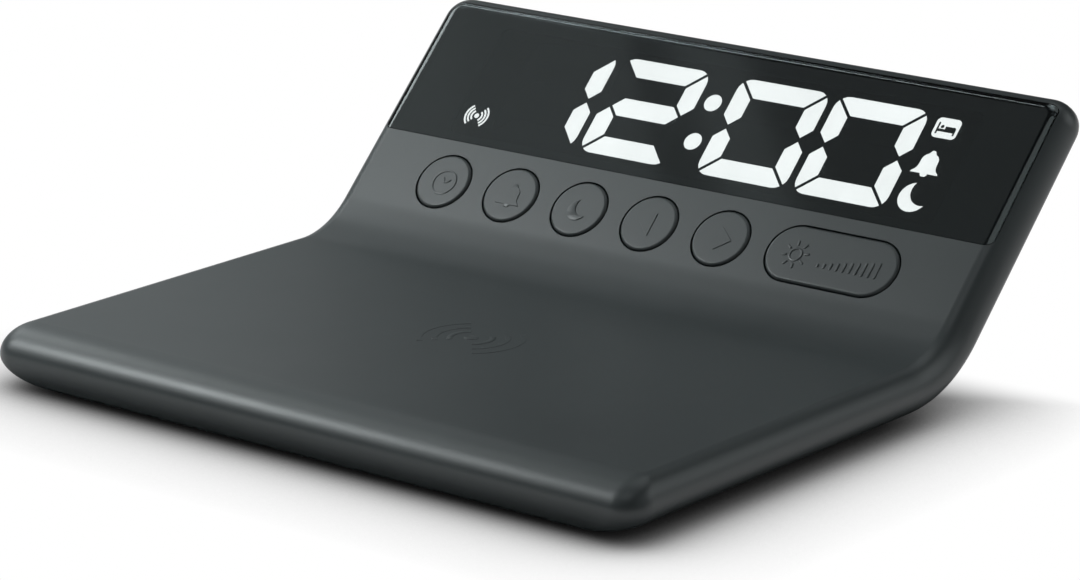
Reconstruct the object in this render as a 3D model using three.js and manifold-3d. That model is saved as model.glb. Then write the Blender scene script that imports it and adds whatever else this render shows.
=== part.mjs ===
// Bedside alarm clock with a charging pad for a phone. Millimetres, +Z up, +Y to the back.
// The body is one slab, bent once: a flat pad in front and a panel that leans back behind it.
// Depths are measured from the outer face of the slab into it, on the pad and on the panel alike.

import * as THREE from 'three';
import { mergeVertices } from 'three/addons/utils/BufferGeometryUtils.js';
import Module from 'manifold-3d';

const wasm = await Module();
wasm.setup();

// Slab: overall sizes and the crease where the planes of pad and panel meet
const WIDTH = 170;
const THICKNESS = 12;
const PAD_DEPTH = 105; // front edge to crease
const PANEL_LENGTH = 67.2; // crease to top edge
const LEAN = THREE.MathUtils.degToRad(45);
const BEND_RADIUS = 22.7; // of the outer face in the crease

// Rounded edge: a quarter ellipse above the widest line and another below it
const WIDEST_DEPTH = 5.9; // of the widest line under the face
const SIDE_ROUND = 4.95; // how far the face's rounding reaches in, at the sides and the top
const FRONT_ROUND = 9.5;
const SIDE_TUCK = 16.5; // how far the underside's rounding reaches in
const FRONT_TUCK = 4.4;
const FRONT_CORNER = 6.2; // plan radius of the pad's corners
const TOP_CORNER = 6.5; // plan radius of the panel's corners
const SMALLEST_CORNER = 0.5;

// Shells
const WALL = 2;
const PLATE = 1.8; // lower shell
const SEAT = 0.3; // clearance where one piece rests on another
const SLIDE = 0.5; // clearance where one piece passes another
const PARTING_SIDE = 9; // lower shell's outline, in from the slab's widest line
const PARTING_FRONT = 3.2;
const LEDGE_WIDTH = 1.5; // of the upper shell's ledge that the lower shell rests on
const LEDGE = 1.3; // thickness of that ledge

// Display lens and its frame
const LENS = 1.5; // thickness
const LENS_BOTTOM = 28.15; // lower edge above the crease
const LENS_SIDE_MARGIN = 2.9; // from the slab's widest line
const LENS_TOP_MARGIN = 3.3;
const LENS_CORNER = 2;
const FRAME_DEPTH = 3.2; // inner face of the thicker wall round the window
const WINDOW_TO_POST = 3; // from the window's ends to the display board's posts
const WINDOW_LOW = 30.6;
const WINDOW_HIGH = 59.6;

// Segments of the display
const DIGIT_WIDTH = 23.9;
const DIGIT_HEIGHT = 25.4;
const DIGIT_BASE = 32.4; // above the crease
const SEGMENT = 4.7; // stroke
const SEGMENT_GAP = 0.7;
const DIGIT_CORNER = 3.3;
const DIGIT_LEFTS = [-55, -29.3, 2.75, 28.5];
const COLON_X = -1.4;
const COLON_SPREAD = 5.15; // of each dot from the digits' middle
const COLON_RADIUS = 2.2;
const MASK_BEHIND_LENS = 0.6;
const MASK_FACE = 1.2;
const MASK_WALL = 0.8;
const GUIDE = 1.8; // light guide's plate
const SEGMENT_SUNK = 0.3; // lit faces under the mask's face

// Keys on the panel
const KEY_NAMES = ['time', 'alarm', 'nap', 'minus', 'plus'];
const KEY_SIDE_MARGIN = 26.9; // first key's centre from the slab's side
const KEY_PITCH = 19.25;
const KEY_RISE = 17.35; // centres above the crease
const KEY_HOLE_RADIUS = 7.2;
const SNOOZE_GAP = 4.9; // between the last round key's hole and the long key's
const SNOOZE_SIDE_MARGIN = 20.5; // long key's end from the slab's side
const KEY_GAP = 0.35; // round a key in its hole
const KEY_PROUD = 0.35;
const KEY_ROUND = 0.7; // edge of the cap
const KEY_FLANGE = 0.7;
const KEY_FLANGE_REACH = 0.8; // past the hole
const KEY_STEM = 0.2;
const KEY_STEM_RADIUS = 2.2;
const TRAVEL = 0.5;
const TRAVEL_SPARE = 0.1;
const SWITCH_SIZE = 6.2;
const SWITCH_HEIGHT = 2.2;
const PLUNGER_RADIUS = 1.7;
const PLUNGER_SUNK = 0.8;

// Boards, and the posts and screws that hold them and the shells
const BOARD = 1.2;
const BOARD_EDGE = 3; // from a board's post to the board's side
const DISPLAY_BOARD_LOW = 10.5;
const DISPLAY_BOARD_HIGH = 59.4;
const DISPLAY_POST_INSET = 14; // from the slab's sides
const DISPLAY_POST_LOW = 13.5; // above the crease
const DISPLAY_POST_HIGH = 54.5;
const MAIN_BOARD = { x: 11, halfWidth: 47, front: -16.5, back: 2.8 };
const MAIN_POST_FRONT = 4; // from the board's front edge
const MAIN_POST_BACK = 10;
const MAIN_POST_HEIGHT = 2.3;
// Chips and a choke: shares of the board's half width and length, then half size and height
const CHIPS = [
  { across: -0.19, along: 0.3, half: 3, height: 1 }, { across: 0.02, along: 0.24, half: 2.5, height: 0.9 },
  { across: 0.43, along: 0.28, half: 3.5, height: 2.6 }, { across: -0.8, along: 0.3, half: 2.3, height: 1.6 },
];
const CAPACITOR = { inset: 19, radius: 2.4, height: 3 }; // inset from the board's right side
const POST_RADIUS = 2.5;
const THREAD_RADIUS = 1;
const PILOT_RADIUS = 1.3;
const BOARD_HEAD_RADIUS = 2;
const BOARD_HEAD = 1.1;
const BOARD_THREAD = 2.7; // thread's length in the post
const LED = 0.8; // height of a lamp on the display board
const BASE_BOSS_INSET = 25; // from the slab's sides
const BASE_BOSS_FRONT = 21; // from the slab's front edge
const BASE_BOSS_BACK = 24; // from the crease
const PANEL_BOSS_INSET = 15;
const PANEL_BOSS_RISE = 36;
const BOSS_RADIUS = 2.8;
const PLATE_POST = 3; // height of the lower shell's screw posts
const PLATE_POST_RADIUS = 3.6;
const PLATE_POST_FLOOR = 1.8;
const HOUSING_HEAD_RADIUS = 2.4;
const HOUSING_HEAD = 1.6;
const HOUSING_THREAD = 5.6; // from the head to the tip

// Charging coil, ferrite and tray
const COIL_CENTRE_Y = -47;
const COIL_TURNS = 10;
const COIL_INNER_RADIUS = 10.6; // middle of the innermost turn
const COIL_PITCH = 1.2;
const COIL_WIRE = 0.75;
const COIL_HEIGHT = 1;
const FERRITE_RADIUS = 25;
const FERRITE = 1.2;
const TRAY = 1;
const TRAY_RIM = 1.4;
const TRAY_BORE = 7;
const EAR_RADIUS = 3.2;
const STUD_RADIUS = 1.2;
const STUD_END = 0.5; // past the tray's underside
const TRAY_POST_RADIUS = 2;
const TRAY_POST_REACH = 17; // from the coil's centre

// Main board's pieces and the cable to the display board
const INLET_X = 20;
const INLET_WIDTH = 9;
const INLET_HEIGHT = 3.2;
const INLET_LENGTH = 9;
const INLET_WALL = 0.4;
const INLET_TONGUE = 0.7;
const INLET_SLOT_MARGIN = 0.5; // lower shell's opening past the inlet
const BUZZER = { inset: 12, y: -7, radius: 4.2 }; // inset from the main board's right side
const SOCKET = { width: 15, length: 4, height: 1.5 };
const CABLE_SHARE = -0.51; // place across the main board's half width
const CABLE_WIDTH = 12;
const CABLE = 0.3;
const BASE_SOCKET_Y = -8;
const PANEL_SOCKET_RISE = 14.5;

// Coin cell and its door in the underside
const CELL_INSET = 37; // from the slab's side
const CELL = { x: CELL_INSET - WIDTH / 2, y: -58, radius: 10, height: 3.2 };
const CELL_CLEARANCE = 0.4;
const CELL_ROOF = 1;
const CONTACT = 0.3;
const CONTACT_SPACE = 0.6;
const DOOR = 1.6;
const DOOR_RIM = 1.4; // past the cell's well
const DOOR_TAB_REACH = 16; // cell's centre to the door's screw
const DOOR_TAB_RADIUS = 3.8;
const DOOR_FLOOR = 0.6; // of the door under its screw's head
const DOOR_HEAD = 0.7; // of the door's screw, flush with the door
const COMPARTMENT_WALL = 1.6;

// Feet
const FOOT_HEIGHT = 1.2; // under the slab
const FOOT_SUNK = 0.3;
const FOOT_HALF_LENGTH = 8;
const FOOT_RADIUS = 3;
const FOOT_INSET = 35; // centre of the foot from the slab's side
const FOOT_FRONT_MARGIN = 10; // centre of the foot from the slab's front edge
const FOOT_BACK_MARGIN = 3.6; // centre of the foot from the start of the bend

// Fineness of the facets
const BEND_STEPS = 9;
const CORNER_STEPS = 5;
const EDGE_STEPS = 6;
const HOLLOW_STEPS = 3;
const COIL_STEPS = 20;
const ROUND_STEPS = 24;
const SCREW_STEPS = 8;

// Lengths along the outer face, from the front edge
const CREASE_TO_BEND = BEND_RADIUS * Math.tan(LEAN / 2);
const BEND_START = PAD_DEPTH - CREASE_TO_BEND;
const BEND_LENGTH = BEND_RADIUS * LEAN;
const FACE_LENGTH = BEND_START + BEND_LENGTH + PANEL_LENGTH - CREASE_TO_BEND;

// Places that the slab's sides give
const corners = (x, low, high) => [[-x, low], [x, low], [-x, high], [x, high]];
const HALF = WIDTH / 2;
const DISPLAY_POST_X = HALF - DISPLAY_POST_INSET;
const DISPLAY_POSTS = corners(DISPLAY_POST_X, DISPLAY_POST_LOW, DISPLAY_POST_HIGH);
const WINDOW_HALF_WIDTH = DISPLAY_POST_X - POST_RADIUS - WINDOW_TO_POST;
const PANEL_BOSSES = [-1, 1].map((side) => [side * (HALF - PANEL_BOSS_INSET), PANEL_BOSS_RISE]);
const BASE_BOSSES = corners(HALF - BASE_BOSS_INSET, BASE_BOSS_FRONT - PAD_DEPTH, -BASE_BOSS_BACK);
const FEET = corners(HALF - FOOT_INSET, FOOT_FRONT_MARGIN - PAD_DEPTH, -CREASE_TO_BEND - FOOT_BACK_MARGIN);
const MAIN_POST_X = MAIN_BOARD.halfWidth - BOARD_EDGE;
const MAIN_POSTS = [
  [MAIN_BOARD.x - MAIN_POST_X, MAIN_BOARD.front + MAIN_POST_FRONT],
  [MAIN_BOARD.x + MAIN_POST_X, MAIN_BOARD.front + MAIN_POST_FRONT],
  [MAIN_BOARD.x - MAIN_POST_X, MAIN_BOARD.front + MAIN_POST_BACK],
];
const CABLE_X = MAIN_BOARD.x + CABLE_SHARE * MAIN_BOARD.halfWidth;
const DOOR_SCREW_Y = CELL.y + DOOR_TAB_REACH;
const keyX = (i) => KEY_SIDE_MARGIN - HALF + i * KEY_PITCH;
const SNOOZE_LEFT = keyX(KEY_NAMES.length - 1) + KEY_HOLE_RADIUS + SNOOZE_GAP;
const SNOOZE_RIGHT = HALF - SNOOZE_SIDE_MARGIN;
const SNOOZE_X = (SNOOZE_LEFT + SNOOZE_RIGHT) / 2;
const SNOOZE_HALF_LENGTH = (SNOOZE_RIGHT - SNOOZE_LEFT) / 2;

// Depths that the stack of pieces gives
const PLATE_DEPTH = THICKNESS - PLATE; // lower shell's inner face
const LEDGE_DEPTH = PLATE_DEPTH - SEAT;
const RIM_DEPTH = LEDGE_DEPTH - LEDGE; // floor of the upper shell's hollow along its rim
const FLANGE_TOP = WALL + SEAT;
const FLANGE_DEPTH = FLANGE_TOP + KEY_FLANGE;
const STEM_DEPTH = FLANGE_DEPTH + KEY_STEM;
const PLUNGER_TOP = STEM_DEPTH + SEAT;
const SWITCH_TOP = PLUNGER_TOP + TRAVEL + TRAVEL_SPARE;
const BOARD_TOP = SWITCH_TOP + SWITCH_HEIGHT + SEAT;
const BOARD_BACK = BOARD_TOP + BOARD;
const MASK_TOP = LENS + MASK_BEHIND_LENS;
const GUIDE_TOP = MASK_TOP + MASK_FACE + SEAT;
const PLATE_POST_TOP = PLATE_DEPTH - PLATE_POST;
const BOSS_END = PLATE_POST_TOP - SEAT;
const SCREW_SEAT = PLATE_POST_TOP + PLATE_POST_FLOOR;
const COIL_TOP = WALL + SEAT;
const FERRITE_TOP = COIL_TOP + COIL_HEIGHT + SEAT;
const TRAY_TOP = FERRITE_TOP + FERRITE + SEAT;
const TRAY_BACK = TRAY_TOP + TRAY;
const MAIN_BACK = PLATE_DEPTH - MAIN_POST_HEIGHT - SEAT;
const MAIN_TOP = MAIN_BACK - BOARD;
const DOOR_DEPTH = THICKNESS - DOOR;
const CELL_BACK = DOOR_DEPTH - SEAT;
const CELL_TOP = CELL_BACK - CELL.height;
const WELL_ROOF = CELL_TOP - CONTACT_SPACE;

// Solids: three.js makes the shapes, joins and cuts go through a closed solid

function solid(geometry) {
  const bare = new THREE.BufferGeometry();
  bare.setAttribute('position', geometry.attributes.position.clone());
  if (geometry.index) bare.setIndex(geometry.index.clone());
  const merged = mergeVertices(bare, 1e-4);
  const index = merged.index.array;
  const faces = [];
  for (let i = 0; i < index.length; i += 3) {
    const [a, b, c] = [index[i], index[i + 1], index[i + 2]];
    if (a !== b && b !== c && c !== a) faces.push(a, b, c);
  }
  const vertProperties = new Float32Array(merged.attributes.position.array);
  return new wasm.Manifold(new wasm.Mesh({ numProp: 3, vertProperties, triVerts: new Uint32Array(faces) }));
}

function geometryOf(manifold) {
  const mesh = manifold.getMesh();
  const geometry = new THREE.BufferGeometry();
  geometry.setAttribute('position', new THREE.BufferAttribute(new Float32Array(mesh.vertProperties), 3));
  geometry.setIndex(new THREE.BufferAttribute(new Uint32Array(mesh.triVerts), 1));
  geometry.computeVertexNormals();
  return geometry;
}

const join = (first, ...rest) => rest.reduce((whole, piece) => whole.add(piece), first);
const cut = (first, ...rest) => rest.reduce((whole, piece) => whole.subtract(piece), first);

// Frames: pieces are drawn with x across, y up the face and z out of it, on the pad or on the panel
const ON_PAD = new THREE.Matrix4();
const ON_PANEL = new THREE.Matrix4().makeRotationX(LEAN);
const placed = (geometry, frame) => solid(geometry.applyMatrix4(frame));
const each = (places, frame, make) => places.map(([x, y]) => placed(make(x, y), frame));

// An outline extruded along z; an arc of the outline gets twice as many steps as the fineness asks for
function extruded(shape, depth, curveSegments = ROUND_STEPS / 8) {
  return new THREE.ExtrudeGeometry(shape, { depth, bevelEnabled: false, curveSegments });
}

// An outline extruded between two depths
function prism(shape, fromDepth, toDepth, fineness) {
  return extruded(shape, toDepth - fromDepth, fineness).translate(0, 0, -toDepth);
}

// A profile of [radius, depth] points turned about the face's normal at x, y
function turned(profile, x, y, steps = ROUND_STEPS) {
  const points = profile.map(([radius, depth]) => new THREE.Vector2(radius, -depth));
  const geometry = new THREE.LatheGeometry(points.reverse(), steps);
  return geometry.rotateX(Math.PI / 2).translate(x, y, 0);
}

function rod(radius, x, y, fromDepth, toDepth, steps = ROUND_STEPS / 2) {
  return turned([[0, fromDepth], [radius, fromDepth], [radius, toDepth], [0, toDepth]], x, y, steps);
}

function roundedRectangle(left, low, right, high, radius) {
  const shape = new THREE.Shape();
  shape.absarc(right - radius, low + radius, radius, -Math.PI / 2, 0);
  shape.absarc(right - radius, high - radius, radius, 0, Math.PI / 2);
  shape.absarc(left + radius, high - radius, radius, Math.PI / 2, Math.PI);
  shape.absarc(left + radius, low + radius, radius, Math.PI, 1.5 * Math.PI);
  return shape;
}

function roundEnded(x, y, halfLength, radius) {
  return roundedRectangle(x - halfLength, y - radius, x + halfLength, y + radius, radius);
}

function box(left, front, right, back, fromDepth, toDepth) {
  const geometry = new THREE.BoxGeometry(right - left, back - front, toDepth - fromDepth);
  return geometry.translate((left + right) / 2, (front + back) / 2, -(fromDepth + toDepth) / 2);
}

// Bent slab: levels of a rounded outline, laid along the face and bent with it

// A point at x across, length s along the face and a depth into the slab
function bent(x, s, depth) {
  if (s <= BEND_START) return [x, s - PAD_DEPTH, -depth];
  if (s < BEND_START + BEND_LENGTH) {
    const turn = (s - BEND_START) / BEND_RADIUS;
    const radius = BEND_RADIUS + depth;
    return [x, radius * Math.sin(turn) - CREASE_TO_BEND, BEND_RADIUS - radius * Math.cos(turn)];
  }
  const rise = s - BEND_START - BEND_LENGTH + CREASE_TO_BEND;
  return [x, rise * Math.cos(LEAN) + depth * Math.sin(LEAN), rise * Math.sin(LEAN) - depth * Math.cos(LEAN)];
}

// Right half of one level's outline, from the middle of the front to the middle of the top
function halfOutline({ side, front, top }) {
  const half = WIDTH / 2 - side;
  const low = Math.max(FRONT_CORNER - Math.min(side, front), SMALLEST_CORNER);
  const high = Math.max(TOP_CORNER - Math.min(side, top), SMALLEST_CORNER);
  const points = [];
  for (let i = 0; i <= CORNER_STEPS; i += 1) {
    const turn = (i / CORNER_STEPS) * (Math.PI / 2);
    points.push([half - low + low * Math.sin(turn), front + low - low * Math.cos(turn)]);
  }
  for (let i = 0; i <= BEND_STEPS; i += 1) points.push([half, BEND_START + (BEND_LENGTH * i) / BEND_STEPS]);
  for (let i = 0; i <= CORNER_STEPS; i += 1) {
    const turn = (i / CORNER_STEPS) * (Math.PI / 2);
    points.push([half - high + high * Math.cos(turn), FACE_LENGTH - top - high + high * Math.sin(turn)]);
  }
  return points;
}

// A closed solid through levels given from the face inwards
function bentSlab(levels) {
  const rings = levels.map((level) => {
    const right = halfOutline(level);
    const left = right.map(([x, s]) => [-x, s]).reverse();
    return [...right, ...left].map(([x, s]) => bent(x, s, level.depth));
  });
  const size = rings[0].length;
  const last = (rings.length - 1) * size;
  const faces = [];
  for (let ring = 0; ring < last; ring += size) {
    for (let i = 0; i < size; i += 1) {
      const next = (i + 1) % size;
      const below = ring + size;
      faces.push(ring + i, below + i, below + next, ring + i, below + next, ring + next);
    }
  }
  for (let i = 0; i < size / 2 - 1; i += 1) {
    const across = size - 1 - i;
    faces.push(across, i, i + 1, across, i + 1, across - 1);
    faces.push(last + across, last + i + 1, last + i, last + across, last + across - 1, last + i + 1);
  }
  const geometry = new THREE.BufferGeometry();
  geometry.setAttribute('position', new THREE.Float32BufferAttribute(rings.flat(2), 3));
  geometry.setIndex(faces);
  return geometry;
}

// Inset of the rounded edge at a depth, for a reach above and below the widest line
function edgeInset(depth, round, tuck) {
  const above = depth <= WIDEST_DEPTH;
  const share = above ? 1 - depth / WIDEST_DEPTH : (depth - WIDEST_DEPTH) / (THICKNESS - WIDEST_DEPTH);
  return (above ? round : tuck) * (1 - Math.sqrt(Math.max(0, 1 - share * share)));
}

// Inset of the hollow's wall at a depth
function hollowInset(depth, round, tuck) {
  if (depth > WIDEST_DEPTH) return edgeInset(depth, round, tuck) + WALL;
  const share = (WIDEST_DEPTH - depth) / (WIDEST_DEPTH - WALL);
  return round - (round - WALL) * Math.sqrt(Math.max(0, 1 - share * share));
}

function level(depth, inset) {
  const side = inset(depth, SIDE_ROUND, SIDE_TUCK);
  return { depth, side, top: side, front: inset(depth, FRONT_ROUND, FRONT_TUCK) };
}

// Depths that step evenly round the quarter ellipses from one depth to the widest line and on
function roundDepths(from, to, steps) {
  const depths = [];
  for (let i = 0; i < steps; i += 1) {
    depths.push(WIDEST_DEPTH - (WIDEST_DEPTH - from) * Math.cos((i / steps) * (Math.PI / 2)));
  }
  for (let i = 0; i <= steps; i += 1) {
    depths.push(WIDEST_DEPTH + (to - WIDEST_DEPTH) * Math.sin((i / steps) * (Math.PI / 2)));
  }
  return depths;
}

const roundedSlab = (from, to, steps, inset) => (
  bentSlab(roundDepths(from, to, steps).map((depth) => level(depth, inset)))
);
const slab = () => roundedSlab(0, THICKNESS, EDGE_STEPS, edgeInset);
const hollow = () => roundedSlab(WALL, RIM_DEPTH, HOLLOW_STEPS, hollowInset);

// Straight-sided stretch of the underside's opening
function opening(fromDepth, inset) {
  const outline = { side: PARTING_SIDE + inset, top: PARTING_SIDE + inset, front: PARTING_FRONT + inset };
  return bentSlab([fromDepth, THICKNESS + WALL].map((depth) => ({ depth, ...outline })));
}

// Display shapes

function lensOutline(grow) {
  const half = WIDTH / 2 - LENS_SIDE_MARGIN + grow;
  const top = PANEL_LENGTH - LENS_TOP_MARGIN + grow;
  return roundedRectangle(-half, LENS_BOTTOM - grow, half, top, LENS_CORNER + grow);
}

// Seven mitred strokes of a digit, drawn about its lower left corner and drawn in by a margin
function digitStrokes(left, margin) {
  const mitre = (SEGMENT_GAP / 2 + margin) * Math.SQRT2;
  const radius = DIGIT_CORNER - margin;
  const start = Math.PI / 4 + Math.acos(mitre / (radius * Math.SQRT2));
  const finish = Math.PI / 4 + Math.acos(-mitre / (radius * Math.SQRT2));
  const middle = DIGIT_HEIGHT / 2;
  const inner = SEGMENT - margin;
  const half = SEGMENT / 2 - margin;
  const arc = (turn) => [
    DIGIT_CORNER + radius * Math.cos(turn), DIGIT_HEIGHT - DIGIT_CORNER + radius * Math.sin(turn),
  ];
  const right = ([x, y]) => [DIGIT_WIDTH - x, y];
  const under = ([x, y]) => [x, DIGIT_HEIGHT - y];
  const mitred = [inner + mitre, DIGIT_HEIGHT - inner];
  const leftEnd = [mitred, arc(start), arc((start + Math.PI / 2) / 2), arc(Math.PI / 2)];
  const top = [...leftEnd, ...leftEnd.map(right).reverse()];
  const upper = [
    [inner, DIGIT_HEIGHT - inner - mitre], [inner, middle + half + mitre], [SEGMENT / 2, middle + mitre],
    [margin, middle + half + mitre], arc(Math.PI), arc((finish + Math.PI) / 2), arc(finish),
  ];
  const bar = [
    [SEGMENT / 2 + mitre, middle], [SEGMENT / 2 + half + mitre, middle + half],
    [DIGIT_WIDTH - SEGMENT / 2 - half - mitre, middle + half], [DIGIT_WIDTH - SEGMENT / 2 - mitre, middle],
    [DIGIT_WIDTH - SEGMENT / 2 - half - mitre, middle - half], [SEGMENT / 2 + half + mitre, middle - half],
  ];
  const lower = upper.map(under);
  const strokes = [top, top.map(under), upper, upper.map(right), lower, lower.map(right), bar];
  return strokes.map((stroke) => {
    const points = stroke.map(([x, y]) => new THREE.Vector2(left + x, DIGIT_BASE + y));
    return new THREE.Shape(points);
  });
}

function litShapes(margin) {
  const middle = DIGIT_BASE + DIGIT_HEIGHT / 2;
  const dots = [-COLON_SPREAD, COLON_SPREAD].map((rise) => {
    const radius = COLON_RADIUS - margin;
    return roundEnded(COLON_X, middle + rise, radius, radius);
  });
  return [...DIGIT_LEFTS.flatMap((left) => digitStrokes(left, margin)), ...dots];
}

// Fasteners

// Pan-headed screw: depths are of the head's bearing face; forward is -1 where the thread points to the face
function screw(x, y, seat, headRadius, head, thread, forward = -1) {
  const at = (along) => seat + forward * along;
  const profile = [
    [0, at(-head)], [headRadius * 0.6, at(-head)], [headRadius, at(-head * 0.5)], [headRadius, at(0)],
    [THREAD_RADIUS, at(0)], [THREAD_RADIUS, at(thread - THREAD_RADIUS)], [0, at(thread)],
  ];
  return turned(forward < 0 ? profile.reverse() : profile, x, y, SCREW_STEPS);
}

// Shells

function upperShell() {
  const frameRim = lensOutline(LEDGE_WIDTH);
  const half = WINDOW_HALF_WIDTH;
  const window = roundedRectangle(-half, WINDOW_LOW, half, WINDOW_HIGH, LENS_CORNER);
  const bosses = [
    ...each(BASE_BOSSES, ON_PAD, (x, y) => rod(BOSS_RADIUS, x, y, WALL / 2, BOSS_END)),
    ...each(PANEL_BOSSES, ON_PANEL, (x, y) => rod(BOSS_RADIUS, x, y, WALL / 2, BOSS_END)),
    ...each(DISPLAY_POSTS, ON_PANEL, (x, y) => rod(POST_RADIUS, x, y, WALL / 2, BOARD_TOP - SEAT)),
    ...each(earPlaces(), ON_PAD, (x, y) => rod(STUD_RADIUS, x, y, WALL / 2, TRAY_BACK + STUD_END)),
  ];
  const pilots = [
    ...each(BASE_BOSSES, ON_PAD, (x, y) => rod(PILOT_RADIUS, x, y, FRAME_DEPTH, BOSS_END + 1)),
    ...each(PANEL_BOSSES, ON_PANEL, (x, y) => rod(PILOT_RADIUS, x, y, FRAME_DEPTH, BOSS_END + 1)),
    ...each(DISPLAY_POSTS, ON_PANEL, (x, y) => rod(PILOT_RADIUS, x, y, FRAME_DEPTH, BOARD_TOP)),
  ];
  const holes = KEY_NAMES.map((name, i) => (
    rod(KEY_HOLE_RADIUS, keyX(i), KEY_RISE, -1, WALL + 1, ROUND_STEPS)
  ));
  holes.push(prism(roundEnded(SNOOZE_X, KEY_RISE, SNOOZE_HALF_LENGTH, KEY_HOLE_RADIUS), -1, WALL + 1));
  const outside = solid(slab());
  const mouth = solid(opening(RIM_DEPTH - 1, LEDGE_WIDTH));
  const shell = cut(outside, solid(hollow()), mouth, solid(opening(LEDGE_DEPTH, 0)));
  const frame = placed(prism(frameRim, WALL / 2, FRAME_DEPTH), ON_PANEL).intersect(outside);
  return cut(
    join(shell, frame, ...bosses),
    placed(prism(lensOutline(SEAT), -1, LENS + SEAT), ON_PANEL),
    placed(prism(window, 0, FRAME_DEPTH + 1), ON_PANEL),
    ...holes.map((hole) => placed(hole, ON_PANEL)),
    ...pilots,
  );
}

// Outline of the battery door, grown by a margin: a disc with a round tab for its screw
function doorOutline(grow) {
  const radius = CELL.radius + CELL_CLEARANCE + DOOR_RIM + grow;
  const tab = DOOR_TAB_RADIUS + grow;
  const meet = Math.asin(tab / radius);
  const shape = new THREE.Shape();
  shape.absarc(CELL.x, CELL.y, radius, Math.PI / 2 + meet, Math.PI * 2.5 - meet);
  shape.absarc(CELL.x, DOOR_SCREW_Y, tab, 0, Math.PI);
  return shape;
}

// Middle of the power inlet above the crease's height
const inletHeight = () => -(MAIN_TOP - SEAT - INLET_HEIGHT / 2);

// Where a line at a height meets a cylinder of the bend, at a depth into the slab
function bendBack(z, depth) {
  return Math.sqrt((BEND_RADIUS + depth) ** 2 - (BEND_RADIUS - z) ** 2) - CREASE_TO_BEND;
}

// The inlet's mouth lies just inside the outer face of the bend
const inletMouth = () => bendBack(inletHeight() - INLET_HEIGHT / 2, THICKNESS) - INLET_SLOT_MARGIN;

function lowerShell() {
  const onPosts = (make) => [...each(BASE_BOSSES, ON_PAD, make), ...each(PANEL_BOSSES, ON_PANEL, make)];
  const below = THICKNESS + 1;
  const inside = PLATE_DEPTH + PLATE / 2;
  const posts = onPosts((x, y) => rod(PLATE_POST_RADIUS, x, y, PLATE_POST_TOP, inside));
  const wells = onPosts((x, y) => rod(HOUSING_HEAD_RADIUS + SEAT, x, y, SCREW_SEAT, below));
  const bores = onPosts((x, y) => rod(PILOT_RADIUS, x, y, PLATE_POST_TOP - 1, below));
  const mainPosts = each(MAIN_POSTS, ON_PAD, (x, y) => rod(POST_RADIUS, x, y, MAIN_BACK + SEAT, inside));
  const mainPilots = each(MAIN_POSTS, ON_PAD, (x, y) => rod(PILOT_RADIUS, x, y, MAIN_BACK, PLATE_DEPTH));
  const trayPosts = each(trayPostPlaces(), ON_PAD, (x, y) => (
    rod(TRAY_POST_RADIUS, x, y, TRAY_BACK + SEAT, inside)
  ));
  const wide = doorOutline(COMPARTMENT_WALL);
  const compartment = placed(prism(wide, WELL_ROOF - CELL_ROOF, THICKNESS, ROUND_STEPS / 2), ON_PAD);
  const well = rod(CELL.radius + CELL_CLEARANCE, CELL.x, CELL.y, WELL_ROOF, below, ROUND_STEPS);
  const doorScrew = rod(PILOT_RADIUS, CELL.x, DOOR_SCREW_Y, WELL_ROOF, below);
  const feet = FEET.map(([x, y]) => {
    const recess = roundEnded(x, y, FOOT_HALF_LENGTH + SEAT, FOOT_RADIUS + SEAT);
    return placed(prism(recess, THICKNESS - FOOT_SUNK - SEAT, below), ON_PAD);
  });
  const margin = INLET_SLOT_MARGIN;
  const slotShape = roundEnded(0, 0, INLET_WIDTH / 2 + margin, INLET_HEIGHT / 2 + margin);
  const slot = extruded(slotShape, THICKNESS).rotateX(-Math.PI / 2);
  slot.translate(INLET_X, inletMouth() - INLET_LENGTH, inletHeight());
  const plate = solid(slab()).intersect(solid(opening(PLATE_DEPTH, SEAT)));
  return cut(
    join(plate, compartment, ...posts, ...mainPosts, ...trayPosts),
    ...wells, ...bores, ...mainPilots, ...feet,
    placed(prism(doorOutline(SEAT), CELL_BACK, below, ROUND_STEPS / 2), ON_PAD),
    placed(well, ON_PAD), placed(doorScrew, ON_PAD), solid(slot),
  );
}

// Display

function displayLens() {
  const local = solid(slab().applyMatrix4(ON_PANEL.clone().invert()));
  return local.intersect(solid(prism(lensOutline(0), -1, LENS)));
}

function segmentMask() {
  const half = WINDOW_HALF_WIDTH - SEAT;
  const outline = (inset) => {
    const [low, high] = [WINDOW_LOW + SEAT + inset, WINDOW_HIGH - SEAT - inset];
    return roundedRectangle(inset - half, low, half - inset, high, LENS_CORNER - SEAT);
  };
  const body = solid(prism(outline(0), MASK_TOP, BOARD_TOP - SEAT));
  const back = solid(prism(outline(MASK_WALL), MASK_TOP + MASK_FACE, BOARD_TOP));
  return cut(body, back, ...litShapes(0).map((shape) => solid(prism(shape, MASK_TOP - 1, GUIDE_TOP))));
}

function lightGuide() {
  const inset = SEAT + MASK_WALL + SEAT;
  const half = WINDOW_HALF_WIDTH - inset;
  const plate = roundedRectangle(-half, WINDOW_LOW + inset, half, WINDOW_HIGH - inset, LENS_CORNER - SEAT);
  const raised = litShapes(SEAT).map((shape) => (
    solid(prism(shape, MASK_TOP + SEGMENT_SUNK, GUIDE_TOP + GUIDE / 2))
  ));
  return join(solid(prism(plate, GUIDE_TOP, GUIDE_TOP + GUIDE)), ...raised);
}

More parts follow.
